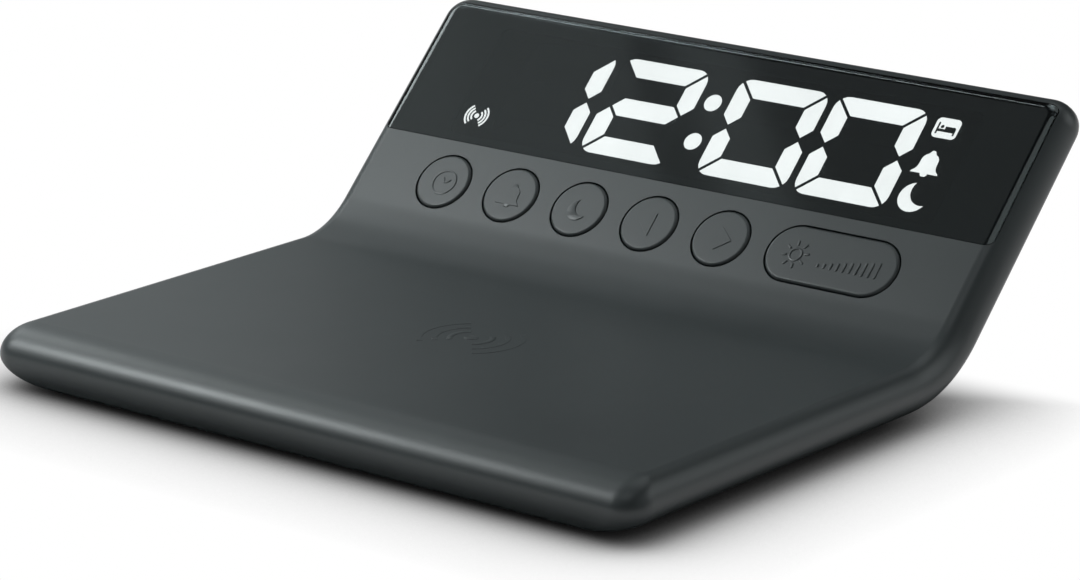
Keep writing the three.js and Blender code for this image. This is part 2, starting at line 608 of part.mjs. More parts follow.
function displayBoard() {
  const half = DISPLAY_POST_X + BOARD_EDGE;
  const outline = roundedRectangle(-half, DISPLAY_BOARD_LOW, half, DISPLAY_BOARD_HIGH, LENS_CORNER);
  const bore = (radius) => ([x, y]) => solid(rod(radius, x, y, BOARD_TOP - 1, BOARD_BACK + 1));
  const holes = [
    ...DISPLAY_POSTS.map(bore(PILOT_RADIUS)),
    ...PANEL_BOSSES.map(bore(PLATE_POST_RADIUS + SLIDE)),
  ];
  const middle = DIGIT_BASE + DIGIT_HEIGHT / 2;
  const lamps = DIGIT_LEFTS.flatMap((left) => [-DIGIT_HEIGHT / 4, DIGIT_HEIGHT / 4].map((rise) => {
    const [x, y] = [left + DIGIT_WIDTH / 2, middle + rise];
    return solid(box(x - LED, y - LED, x + LED, y + LED, BOARD_TOP - LED, BOARD_TOP + BOARD / 2));
  }));
  return join(cut(solid(prism(outline, BOARD_TOP, BOARD_BACK)), ...holes), ...lamps);
}

// Keys

// Cap with a rounded edge and a flange behind its hole; a stretch draws the round cap out to a long one
function keyCap(x, stretch = 0) {
  const radius = KEY_HOLE_RADIUS - KEY_GAP;
  const flange = KEY_HOLE_RADIUS + KEY_FLANGE_REACH;
  const slope = KEY_ROUND * (1 - Math.SQRT1_2);
  const cap = turned([
    [0, -KEY_PROUD], [radius - KEY_ROUND, -KEY_PROUD], [radius - slope, slope - KEY_PROUD],
    [radius, KEY_ROUND - KEY_PROUD], [radius, FLANGE_TOP], [flange, FLANGE_TOP], [flange, FLANGE_DEPTH],
    [KEY_STEM_RADIUS, FLANGE_DEPTH], [KEY_STEM_RADIUS, STEM_DEPTH], [0, STEM_DEPTH],
  ], 0, 0).rotateZ(Math.PI / ROUND_STEPS);
  const places = cap.attributes.position;
  for (let i = 0; i < places.count; i += 1) {
    const across = places.getX(i);
    if (Math.abs(across) > 1e-3) places.setX(i, across + Math.sign(across) * stretch);
  }
  return solid(cap.translate(x, KEY_RISE, 0));
}

function keySwitch(x) {
  const half = SWITCH_SIZE / 2;
  const body = box(x - half, KEY_RISE - half, x + half, KEY_RISE + half, SWITCH_TOP, BOARD_TOP - SEAT);
  const floor = SWITCH_TOP + PLUNGER_SUNK + TRAVEL + SEAT;
  return cut(solid(body), solid(rod(PLUNGER_RADIUS + SEAT, x, KEY_RISE, SWITCH_TOP - 1, floor)));
}

function plunger(x) {
  const foot = SWITCH_TOP + PLUNGER_SUNK;
  const chamfer = SEAT;
  return solid(turned([
    [0, PLUNGER_TOP], [PLUNGER_RADIUS - chamfer, PLUNGER_TOP], [PLUNGER_RADIUS, PLUNGER_TOP + chamfer],
    [PLUNGER_RADIUS, foot], [0, foot],
  ], x, KEY_RISE, ROUND_STEPS / 2));
}

// Charging coil

// Places on a circle round the coil's centre, at thirds of a turn from an angle
function thirds(radius, first) {
  return [0, 1, 2].map((i) => {
    const turn = first + (i * 2 * Math.PI) / 3;
    return [radius * Math.cos(turn), COIL_CENTRE_Y + radius * Math.sin(turn)];
  });
}

const trayRadius = () => FERRITE_RADIUS + SLIDE + TRAY_RIM;
const earPlaces = () => thirds(trayRadius() + EAR_RADIUS / 2, -Math.PI / 2);
const trayPostPlaces = () => thirds(TRAY_POST_REACH, Math.PI / 2);

// One flat spiral of wire with a rectangular section
function chargingCoil() {
  const stepsPerTurn = COIL_STEPS;
  const steps = COIL_TURNS * stepsPerTurn;
  const middles = [];
  const points = [];
  for (let i = 0; i <= steps; i += 1) {
    const turn = (i / stepsPerTurn) * 2 * Math.PI;
    const radius = COIL_INNER_RADIUS + (COIL_PITCH * i) / stepsPerTurn;
    middles.push([radius * Math.cos(turn), radius * Math.sin(turn)]);
    for (const [across, depth] of [[-1, 0], [1, 0], [1, COIL_HEIGHT], [-1, COIL_HEIGHT]]) {
      const reach = radius + (across * COIL_WIRE) / 2;
      points.push(reach * Math.cos(turn), COIL_CENTRE_Y + reach * Math.sin(turn), -COIL_TOP - depth);
    }
  }
  const faces = [0, 2, 1, 0, 3, 2];
  for (let i = 0; i < steps; i += 1) {
    for (let k = 0; k < 4; k += 1) {
      const [a, b] = [4 * i + k, 4 * i + ((k + 1) % 4)];
      faces.push(a, b, b + 4, a, b + 4, a + 4);
    }
  }
  const end = 4 * steps;
  faces.push(end, end + 1, end + 2, end, end + 2, end + 3);
  let least = Infinity;
  for (let i = 0; i + stepsPerTurn <= steps; i += 1) {
    const [x, y] = middles[i];
    const [outerX, outerY] = middles[i + stepsPerTurn];
    least = Math.min(least, Math.hypot(outerX - x, outerY - y) - COIL_WIRE);
  }
  console.log(`least gap between turns of the coil: ${least.toFixed(3)} mm`);
  const geometry = new THREE.BufferGeometry();
  geometry.setAttribute('position', new THREE.Float32BufferAttribute(points, 3));
  geometry.setIndex(faces);
  return solid(geometry);
}

function ferriteSheet() {
  const back = COIL_CENTRE_Y + FERRITE_RADIUS + 1;
  const notch = box(-SLIDE, COIL_CENTRE_Y, SLIDE, back, FERRITE_TOP - 1, TRAY_TOP);
  const disc = rod(FERRITE_RADIUS, 0, COIL_CENTRE_Y, FERRITE_TOP, FERRITE_TOP + FERRITE, ROUND_STEPS);
  return cut(solid(disc), solid(notch));
}

function coilTray() {
  const outer = trayRadius();
  const rim = FERRITE_RADIUS + SLIDE;
  const tray = solid(turned([
    [TRAY_BORE, TRAY_TOP], [rim, TRAY_TOP], [rim, FERRITE_TOP], [outer, FERRITE_TOP], [outer, TRAY_BACK],
    [TRAY_BORE, TRAY_BACK], [TRAY_BORE, TRAY_TOP],
  ], 0, COIL_CENTRE_Y));
  const ears = earPlaces().map(([x, y]) => cut(
    solid(rod(EAR_RADIUS, x, y, TRAY_TOP, TRAY_BACK)),
    solid(rod(rim + TRAY_RIM / 2, 0, COIL_CENTRE_Y, TRAY_TOP - 1, TRAY_BACK + 1, ROUND_STEPS)),
  ));
  const holes = earPlaces().map(([x, y]) => (
    solid(rod(STUD_RADIUS + SEAT, x, y, FERRITE_TOP - 1, TRAY_BACK + 1))
  ));
  return cut(join(tray, ...ears), ...holes);
}

// Main board and what it carries

function mainBoard() {
  const { x, halfWidth, front, back } = MAIN_BOARD;
  const outline = roundedRectangle(x - halfWidth, front, x + halfWidth, back, LENS_CORNER);
  const board = solid(prism(outline, MAIN_TOP, MAIN_BACK));
  const holes = MAIN_POSTS.map(([postX, postY]) => (
    solid(rod(PILOT_RADIUS, postX, postY, MAIN_TOP - 1, MAIN_BACK + 1))
  ));
  const sunk = MAIN_TOP + BOARD / 2;
  const chips = CHIPS.map(({ across, along, half, height }) => {
    const [chipX, chipY] = [x + across * halfWidth, front + along * (back - front)];
    return solid(box(chipX - half, chipY - half, chipX + half, chipY + half, MAIN_TOP - height, sunk));
  });
  const { inset, radius, height } = CAPACITOR;
  const cans = [-1, 1].map((side) => {
    const canY = (front + back) / 2 + side * (radius + SLIDE);
    return solid(rod(radius, x + halfWidth - inset, canY, MAIN_TOP - height, sunk));
  });
  return join(cut(board, ...holes), ...chips, ...cans);
}

function powerInlet() {
  const rounded = (inset) => roundEnded(0, 0, INLET_WIDTH / 2 - inset, INLET_HEIGHT / 2 - inset);
  const shell = solid(extruded(rounded(0), INLET_LENGTH));
  const mouth = solid(extruded(rounded(INLET_WALL), INLET_LENGTH).translate(0, 0, INLET_WALL));
  const reach = INLET_LENGTH - INLET_WALL - SLIDE;
  const half = INLET_WIDTH / 2 - INLET_HEIGHT / 2;
  const tongue = new THREE.BoxGeometry(2 * half, INLET_TONGUE, reach);
  tongue.translate(0, 0, (reach + INLET_WALL) / 2);
  const whole = geometryOf(join(cut(shell, mouth), solid(tongue)));
  return solid(whole.rotateX(-Math.PI / 2).translate(INLET_X, inletMouth() - INLET_LENGTH, inletHeight()));
}

function buzzer() {
  const { inset, y, radius } = BUZZER;
  const x = MAIN_BOARD.x + MAIN_BOARD.halfWidth - inset;
  const [top, foot] = [WALL + SEAT, MAIN_TOP - SEAT];
  return solid(turned([
    [radius / 4, top], [radius - SEAT, top], [radius, top + SEAT], [radius, foot], [0, foot], [0, top + 1],
    [radius / 4, top + 1], [radius / 4, top],
  ], x, y, ROUND_STEPS / 2));
}

function cableSocket(y, top) {
  const [across, along] = [SOCKET.width / 2, SOCKET.length / 2];
  return solid(box(CABLE_X - across, y - along, CABLE_X + across, y + along, top, top + SOCKET.height));
}

// Flat cable from the main board's socket round the bend to the display board's socket
function ribbonCable() {
  const start = [BASE_SOCKET_Y + SOCKET.length / 2 + SEAT, -(MAIN_TOP - SEAT - SOCKET.height / 2)];
  const rise = PANEL_SOCKET_RISE - SOCKET.length / 2 - SEAT;
  const depth = BOARD_BACK + SEAT + SOCKET.height / 2;
  const [sine, cosine] = [Math.sin(LEAN), Math.cos(LEAN)];
  const finish = [rise * cosine + depth * sine, rise * sine - depth * cosine];
  const run = Math.hypot(finish[0] - start[0], finish[1] - start[1]) * 0.4;
  const path = new THREE.CubicBezierCurve(
    new THREE.Vector2(...start), new THREE.Vector2(start[0] + run, start[1]),
    new THREE.Vector2(finish[0] - run * cosine, finish[1] - run * sine), new THREE.Vector2(...finish),
  );
  const steps = CORNER_STEPS * 2;
  const side = (offset) => Array.from({ length: steps + 1 }, (_, i) => {
    const tangent = path.getTangent(i / steps);
    return path.getPoint(i / steps).add(new THREE.Vector2(-tangent.y, tangent.x).multiplyScalar(offset));
  });
  const outline = new THREE.Shape([...side(-CABLE / 2), ...side(CABLE / 2).reverse()]);
  const strip = new THREE.ExtrudeGeometry(outline, { depth: CABLE_WIDTH, bevelEnabled: false });
  const turn = new THREE.Matrix4().makeBasis(
    new THREE.Vector3(0, 1, 0), new THREE.Vector3(0, 0, 1), new THREE.Vector3(1, 0, 0),
  );
  return solid(strip.applyMatrix4(turn).translate(CABLE_X - CABLE_WIDTH / 2, 0, 0));
}

// Coin cell

function coinCell() {
  const { x, y, radius, height } = CELL;
  const step = height / 4;
  return solid(turned([
    [0, CELL_TOP], [radius - step, CELL_TOP], [radius - step, CELL_TOP + step], [radius, CELL_TOP + step],
    [radius, CELL_BACK], [0, CELL_BACK],
  ], x, y));
}

// Leaf in the roof of the well, touching the cell's smaller face
function roofContact() {
  const middle = (WELL_ROOF + CELL_TOP) / 2;
  const leaf = roundEnded(CELL.x, CELL.y, CELL.radius / 2, CELL.radius / 6);
  return solid(prism(leaf, middle - CONTACT / 2, middle + CONTACT / 2));
}

// Leaf between the door and the cell's larger face
function doorContact() {
  const middle = (CELL_BACK + DOOR_DEPTH) / 2;
  const leaf = roundEnded(CELL.x, CELL.y, CELL.radius / 2, CELL.radius / 4);
  return solid(prism(leaf, middle - CONTACT / 4, middle + CONTACT / 4));
}

function batteryDoor() {
  const plate = prism(doorOutline(0), DOOR_DEPTH, THICKNESS, ROUND_STEPS / 2);
  const head = rod(HOUSING_HEAD_RADIUS, CELL.x, DOOR_SCREW_Y, DOOR_DEPTH + DOOR_FLOOR, THICKNESS + 1);
  const bore = rod(PILOT_RADIUS, CELL.x, DOOR_SCREW_Y, DOOR_DEPTH - 1, THICKNESS + 1);
  return cut(solid(plate), solid(head), solid(bore));
}

function foot([x, y]) {
  const edge = FOOT_HEIGHT / 3;
  const shape = roundEnded(x, y, FOOT_HALF_LENGTH - edge, FOOT_RADIUS - edge);
  const geometry = new THREE.ExtrudeGeometry(shape, {
    depth: FOOT_HEIGHT + FOOT_SUNK - 2 * edge, bevelSize: edge, bevelThickness: edge, bevelSegments: 1,
    curveSegments: ROUND_STEPS / 8,
  });
  return solid(geometry.translate(0, 0, edge - THICKNESS - FOOT_HEIGHT));
}

// Finishes
const finish = (color, roughness, metalness = 0) => (
  new THREE.MeshStandardMaterial({ color, roughness, metalness })
);
const SOFT_BLACK = finish('#3b3f40', 0.55);
const KEY_BLACK = finish('#3d4142', 0.5);
const UNDERSIDE = finish('#2a2d2e', 0.6);
const SMOKED = finish('#0d0f10', 0.06);
const LIT = finish('#f1f8f9', 0.4);
const MASK_BLACK = finish('#141617', 0.7);
const BOARD_GREEN = finish('#1f4a35', 0.5);
const PLASTIC_BLACK = finish('#191a1b', 0.5);
const STEEL = finish('#b4b6b8', 0.35, 1);
const COPPER = finish('#b5713f', 0.4, 1);
const FERRITE_GREY = finish('#3a3b3d', 0.8);
const RUBBER = finish('#1c1d1e', 0.9);
const RIBBON_WHITE = finish('#d9dad6', 0.5);

const pad = new THREE.Group();
const panel = new THREE.Group();
panel.rotation.x = LEAN;

function add(group, name, material, manifold) {
  const mesh = new THREE.Mesh(geometryOf(manifold), material);
  mesh.name = name;
  group.add(mesh);
}

add(pad, 'upper_shell', SOFT_BLACK, upperShell());
add(pad, 'lower_shell', UNDERSIDE, lowerShell());
add(panel, 'display_lens', SMOKED, displayLens());
add(panel, 'segment_mask', MASK_BLACK, segmentMask());
add(panel, 'light_guide', LIT, lightGuide());
add(panel, 'display_board', BOARD_GREEN, displayBoard());

KEY_NAMES.forEach((name, i) => {
  add(panel, `${name}_key`, KEY_BLACK, keyCap(keyX(i)));
  add(panel, `${name}_key_switch`, PLASTIC_BLACK, keySwitch(keyX(i)));
  add(panel, `${name}_key_plunger`, PLASTIC_BLACK, plunger(keyX(i)));
});
add(panel, 'snooze_key', KEY_BLACK, keyCap(SNOOZE_X, SNOOZE_HALF_LENGTH - KEY_HOLE_RADIUS));
add(panel, 'snooze_key_switch', PLASTIC_BLACK, keySwitch(SNOOZE_X));
add(panel, 'snooze_key_plunger', PLASTIC_BLACK, plunger(SNOOZE_X));

add(pad, 'charging_coil', COPPER, chargingCoil());
add(pad, 'ferrite_sheet', FERRITE_GREY, ferriteSheet());
add(pad, 'coil_tray', PLASTIC_BLACK, coilTray());
add(pad, 'main_board', BOARD_GREEN, mainBoard());
add(pad, 'power_inlet', STEEL, powerInlet());
add(pad, 'buzzer', PLASTIC_BLACK, buzzer());
add(pad, 'base_cable_socket', PLASTIC_BLACK, cableSocket(BASE_SOCKET_Y, MAIN_TOP - SEAT - SOCKET.height));
add(panel, 'panel_cable_socket', PLASTIC_BLACK, cableSocket(PANEL_SOCKET_RISE, BOARD_BACK + SEAT));
add(pad, 'ribbon_cable', RIBBON_WHITE, ribbonCable());

add(pad, 'coin_cell', STEEL, coinCell());
add(pad, 'cell_roof_contact', STEEL, roofContact());
add(pad, 'cell_door_contact', STEEL, doorContact());
add(pad, 'battery_door', UNDERSIDE, batteryDoor());
const doorSizes = [DOOR_DEPTH + DOOR_FLOOR + SEAT, HOUSING_HEAD_RADIUS - SEAT, DOOR_HEAD, BOARD_THREAD];
add(pad, 'battery_door_screw', STEEL, solid(screw(CELL.x, DOOR_SCREW_Y, ...doorSizes)));

FEET.forEach((place, i) => add(pad, `foot_${i + 1}`, RUBBER, foot(place)));
const housingSizes = [SCREW_SEAT + SEAT, HOUSING_HEAD_RADIUS, HOUSING_HEAD, HOUSING_THREAD];
const boardSizes = [BOARD_HEAD_RADIUS, BOARD_HEAD, BOARD + 2 * SEAT + BOARD_THREAD];
BASE_BOSSES.forEach(([x, y], i) => {
  add(pad, `base_housing_screw_${i + 1}`, STEEL, solid(screw(x, y, ...housingSizes)));
});
PANEL_BOSSES.forEach(([x, y], i) => {
  add(panel, `panel_housing_screw_${i + 1}`, STEEL, solid(screw(x, y, ...housingSizes)));
});
DISPLAY_POSTS.forEach(([x, y], i) => {
  add(panel, `display_board_screw_${i + 1}`, STEEL, solid(screw(x, y, BOARD_BACK + SEAT, ...boardSizes)));
});
const mainSizes = [BOARD_HEAD_RADIUS, BOARD_HEAD, BOARD + 2 * SEAT + MAIN_POST_HEIGHT - SEAT];
MAIN_POSTS.forEach(([x, y], i) => {
  add(pad, `main_board_screw_${i + 1}`, STEEL, solid(screw(x, y, MAIN_TOP - SEAT, ...mainSizes, 1)));
});

// The clock stands on its feet, with the origin under the middle of its outline
const outline = slab();
outline.computeBoundingBox();
const clock = new THREE.Group();
clock.name = 'charging_alarm_clock';
clock.position.set(0, -(outline.boundingBox.min.y + outline.boundingBox.max.y) / 2, THICKNESS + FOOT_HEIGHT);
clock.add(pad, panel);

export default clock;
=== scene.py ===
"""Looks of a bedside alarm clock with a charging pad: one slab, bent once, with a smoked display and six keys.

Pieces are drawn flat, as if the slab had never been bent: X across it, Y along its outer face from the start of the
bend, up the panel, and Z out of the face. One Geometry Nodes tree then bends each piece into its place.
"""

import math

import bmesh
import bpy
from bpy.props import FloatProperty, FloatVectorProperty, PointerProperty
from mathutils import Matrix, Vector


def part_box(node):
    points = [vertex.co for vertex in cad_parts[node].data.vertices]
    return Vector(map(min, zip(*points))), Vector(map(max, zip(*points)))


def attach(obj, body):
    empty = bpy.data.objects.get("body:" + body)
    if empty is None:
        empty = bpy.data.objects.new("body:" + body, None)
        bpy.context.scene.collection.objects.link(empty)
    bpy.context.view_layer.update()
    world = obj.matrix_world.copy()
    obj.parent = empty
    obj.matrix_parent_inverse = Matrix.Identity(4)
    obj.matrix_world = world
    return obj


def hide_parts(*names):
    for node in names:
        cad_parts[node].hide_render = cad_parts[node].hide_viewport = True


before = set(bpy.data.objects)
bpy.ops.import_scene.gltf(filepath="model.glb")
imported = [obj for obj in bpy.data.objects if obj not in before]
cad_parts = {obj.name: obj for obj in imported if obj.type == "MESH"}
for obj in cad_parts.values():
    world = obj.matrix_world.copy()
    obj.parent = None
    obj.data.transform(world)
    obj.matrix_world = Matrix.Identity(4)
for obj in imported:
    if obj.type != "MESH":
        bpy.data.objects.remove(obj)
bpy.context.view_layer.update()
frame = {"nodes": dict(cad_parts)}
SHELL_LOW, SHELL_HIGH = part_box("upper_shell")

bl_info = {
    "name": "Charging Alarm Clock",
    "version": (1, 0, 0),
    "blender": (4, 5, 0),
    "location": "3D View > Sidebar > Clock",
    "description": "Builds the looks of a bedside alarm clock with a charging pad around its packed solids",
    "category": "Object",
}

MM = 0.001
HOUSING = "housing"
# How far cutters run past the slab
OVERRUN = 2 * MM
KEYS = ("time", "alarm", "nap", "minus", "plus")
# Left edge of each digit in millimetres, and its lit strokes, named clockwise from the top, with the bar last
DIGITS = ((-55, "bc"), (-29.3, "abged"), (2.75, "abcdef"), (28.5, "abcdef"))


def linear(code):
    """Turns an sRGB hex colour into linear red, green and blue."""
    parts = [int(code[i:i + 2], 16) / 255 for i in (1, 3, 5)]
    return tuple(v / 12.92 if v <= 0.04045 else ((v + 0.055) / 1.055) ** 2.4 for v in parts)


def length(name, description, millimetres):
    """Property for a real size."""
    return FloatProperty(name=name, description=description, default=millimetres * MM, unit="LENGTH", precision=5)


def colour(name, description, code):
    """Property for a finish's colour."""
    return FloatVectorProperty(
        name=name, description=description, default=linear(code), size=3, subtype="COLOR", min=0, max=1
    )


class ClockSizes(bpy.types.PropertyGroup):
    """Real sizes of the clock."""

    width: length("Width", "Across the slab's widest line", (SHELL_HIGH.x - SHELL_LOW.x) / MM)
    thickness: length("Thickness", "Of the slab, the same on pad and panel", 12)
    foot_height: length("Foot Height", "Of the slab's underside above the table", 1.2)
    pad_depth: length("Pad Depth", "From the front edge to the crease", 105)
    panel_length: length("Panel Length", "From the crease to the top edge", 67.2)
    lean: FloatProperty(
        name="Lean", description="Angle between pad and panel planes", default=math.radians(45), subtype="ANGLE"
    )
    bend_radius: length("Bend Radius", "Of the outer face in the crease", 22.7)
    widest_depth: length("Widest Depth", "Of the widest line under the face", 5.9)
    side_round: length("Side Round", "How far the face's rounding reaches in at the sides and the top", 4.95)
    front_round: length("Front Round", "How far the face's rounding reaches in at the front", 9.5)
    side_tuck: length("Side Tuck", "How far the underside's rounding reaches in at the sides and the top", 16.5)
    front_tuck: length("Front Tuck", "How far the underside's rounding reaches in at the front", 4.4)
    front_corner: length("Front Corner", "Plan radius of the pad's corners", 6.2)
    top_corner: length("Top Corner", "Plan radius of the panel's corners", 6.5)
    wall: length("Wall", "Of the upper shell", 2)
    plate: length("Plate", "Thickness of the lower shell", 1.8)
    seat: length("Seat", "Clearance where one piece rests in another", 0.3)
    parting_side: length("Parting Side", "Lower shell's edge, in from the widest line at the sides", 9)
    parting_front: length("Parting Front", "Lower shell's edge, in from the widest line at the front", 3.2)
    lens: length("Lens", "Thickness of the display lens", 1.5)
    lens_bottom: length("Lens Bottom", "Lower edge of the lens above the crease", 28.15)
    lens_side: length("Lens Side", "Lens edge from the slab's side", 2.9)
    lens_top: length("Lens Top", "Lens edge from the slab's top", 3.3)
    lens_corner: length("Lens Corner", "Corner radius of the lens", 2)
    key_radius: length("Key Radius", "Of a round key's cap", 6.88)
    key_gap: length("Key Gap", "Round a key in its hole", 0.32)
    key_rise: length("Key Rise", "Key centres above the crease", 17.35)
    key_first: length("First Key", "Centre of the first round key", -58.1)
    key_pitch: length("Key Pitch", "Between round keys", 19.25)
    key_long: length("Long Key", "Centre of the long key", 47.75)
    key_stretch: length("Key Stretch", "Half the straight length of the long key", 9.55)
    key_proud: length("Key Proud", "How far the keys stand out of the face", 0.35)
    key_round: length("Key Round", "Edge radius of the keys", 0.7)
    key_body: length("Key Body", "Depth of a cap below its rounded edge", 2.6)
    sign_height: length("Sign Height", "Relief of the raised signs on the keys", 0.16)
    digit_width: length("Digit Width", "Over a digit's strokes", 23.9)
    digit_height: length("Digit Height", "Over a digit's strokes", 25.4)
    digit_base: length("Digit Base", "Foot of the digits above the crease", 32.4)
    stroke: length("Stroke", "Width of a digit's stroke", 4.7)
    stroke_gap: length("Stroke Gap", "Between strokes", 0.7)
    digit_corner: length("Digit Corner", "Outer corner radius of a digit", 3.3)
    display_depth: length("Display Depth", "Of the lit faces behind the outer face", 2.15)


class ClockColours(bpy.types.PropertyGroup):
    """Colours of the clock's finishes."""

    shell: colour("Shell", "Soft-touch coat of the upper shell", "#3a3f40")
    key: colour("Key", "Soft-touch coat of the keys", "#3a3f40")
    underside: colour("Underside", "Moulded lower shell and battery door", "#24282a")
    smoke: colour("Smoke", "Light that the lens lets through", "#686c6e")
    lit: colour("Lit", "Lit strokes of the display", "#fffdf8")
    floor: colour("Floor", "Table under the clock", "#cbcbcb")
    lamp: colour("Lamp", "Light of the studio lamps", "#f7feff")


# Places on the flat slab


def crease_to_bend(sizes):
    """From the crease of the two planes to where the bend starts or ends."""
    return sizes.bend_radius * math.tan(sizes.lean / 2)


def on_panel(sizes, rise):
    """Flat Y of a height on the panel above the crease."""
    return sizes.bend_radius * sizes.lean - crease_to_bend(sizes) + rise


def on_pad(sizes, from_crease):
    """Flat Y of a distance on the pad in front of the crease."""
    return crease_to_bend(sizes) - from_crease


def bend_place(sizes):
    """Start of the bend on the outer face, in the row frame."""
    return Vector((
        (SHELL_LOW.x + SHELL_HIGH.x) / 2,
        SHELL_LOW.y + sizes.pad_depth - crease_to_bend(sizes),
        sizes.thickness + sizes.foot_height,
    ))


# Nodes


def add_node(tree, kind, inputs=None, **settings):
    """Adds a node, sets its settings, and fills or links its inputs by name or number."""
    made = tree.nodes.new(kind)
    for key, value in settings.items():
        setattr(made, key, value)
    for key, value in (inputs or {}).items():
        if isinstance(value, bpy.types.NodeSocket):
            tree.links.new(value, made.inputs[key])
        else:
            made.inputs[key].default_value = value
    return made


def node_group(name, sockets):
    """Starts a Geometry Nodes tree with named inputs and one geometry output; returns it and its input node."""
    tree = bpy.data.node_groups.new(name, "GeometryNodeTree")
    for label, kind, note in sockets:
        tree.interface.new_socket(label, in_out="INPUT", socket_type=kind, description=note)
    tree.interface.new_socket("Geometry", in_out="OUTPUT", socket_type="NodeSocketGeometry")
    return tree, add_node(tree, "NodeGroupInput").outputs


def close_group(tree, geometry, material):
    """Ends a tree in realized instances, one material and the output."""
    real = add_node(tree, "GeometryNodeRealizeInstances", {"Geometry": geometry})
    dressed = add_node(tree, "GeometryNodeSetMaterial", {"Geometry": real.outputs[0], "Material": material})
    add_node(tree, "NodeGroupOutput", {0: dressed.outputs[0]})
    return tree


def bend_tree():
    """Tree that bends flat pieces: pad before the bend, arc in it, leaning panel after it."""
    if "Bent slab" in bpy.data.node_groups:
        return bpy.data.node_groups["Bent slab"]
    tree, given = node_group("Bent slab", [
        ("Geometry", "NodeSocketGeometry", "Piece drawn flat"),
        ("Bend Radius", "NodeSocketFloat", "Radius of the outer face in the crease"),
        ("Lean", "NodeSocketFloat", "Angle of the bend"),
        ("Place", "NodeSocketVector", "Where the bend starts"),
        ("Material", "NodeSocketMaterial", "Finish of the piece"),
    ])
    position = add_node(tree, "GeometryNodeInputPosition")
    flat = add_node(tree, "ShaderNodeSeparateXYZ", {0: position.outputs[0]}).outputs
    value = {"y": flat["Y"], "z": flat["Z"], "radius": given["Bend Radius"], "lean": given["Lean"], "nought": 0.0}
    for name, operation, *terms in (
        ("ratio", "DIVIDE", "y", "radius"),
        ("begun", "MAXIMUM", "ratio", "nought"),
        ("turn", "MINIMUM", "begun", "lean"),
        ("arc", "MULTIPLY", "radius", "lean"),
        ("past", "SUBTRACT", "y", "arc"),
        ("beyond", "MAXIMUM", "past", "nought"),
        ("before", "MINIMUM", "y", "nought"),
        ("reach", "SUBTRACT", "radius", "z"),
        ("turn_sine", "SINE", "turn"),
        ("turn_cosine", "COSINE", "turn"),
        ("lean_sine", "SINE", "lean"),
        ("lean_cosine", "COSINE", "lean"),
        ("arc_run", "MULTIPLY_ADD", "reach", "turn_sine", "before"),
        ("run", "MULTIPLY_ADD", "beyond", "lean_cosine", "arc_run"),
        ("drop", "MULTIPLY", "reach", "turn_cosine"),
        ("arc_rise", "SUBTRACT", "radius", "drop"),
        ("rise", "MULTIPLY_ADD", "beyond", "lean_sine", "arc_rise"),
    ):
        terms = {i: value[term] for i, term in enumerate(terms)}
        value[name] = add_node(tree, "ShaderNodeMath", terms, operation=operation).outputs[0]
    bent = add_node(tree, "ShaderNodeCombineXYZ", {0: flat["X"], 1: value["run"], 2: value["rise"]})
    placed = add_node(tree, "ShaderNodeVectorMath", {0: bent.outputs[0], 1: given["Place"]}, operation="ADD")
    real = add_node(tree, "GeometryNodeRealizeInstances", {"Geometry": given["Geometry"]})
    shaped = add_node(tree, "GeometryNodeSetPosition", {"Geometry": real.outputs[0], "Position": placed.outputs[0]})
    return close_group(tree, shaped.outputs[0], given["Material"])


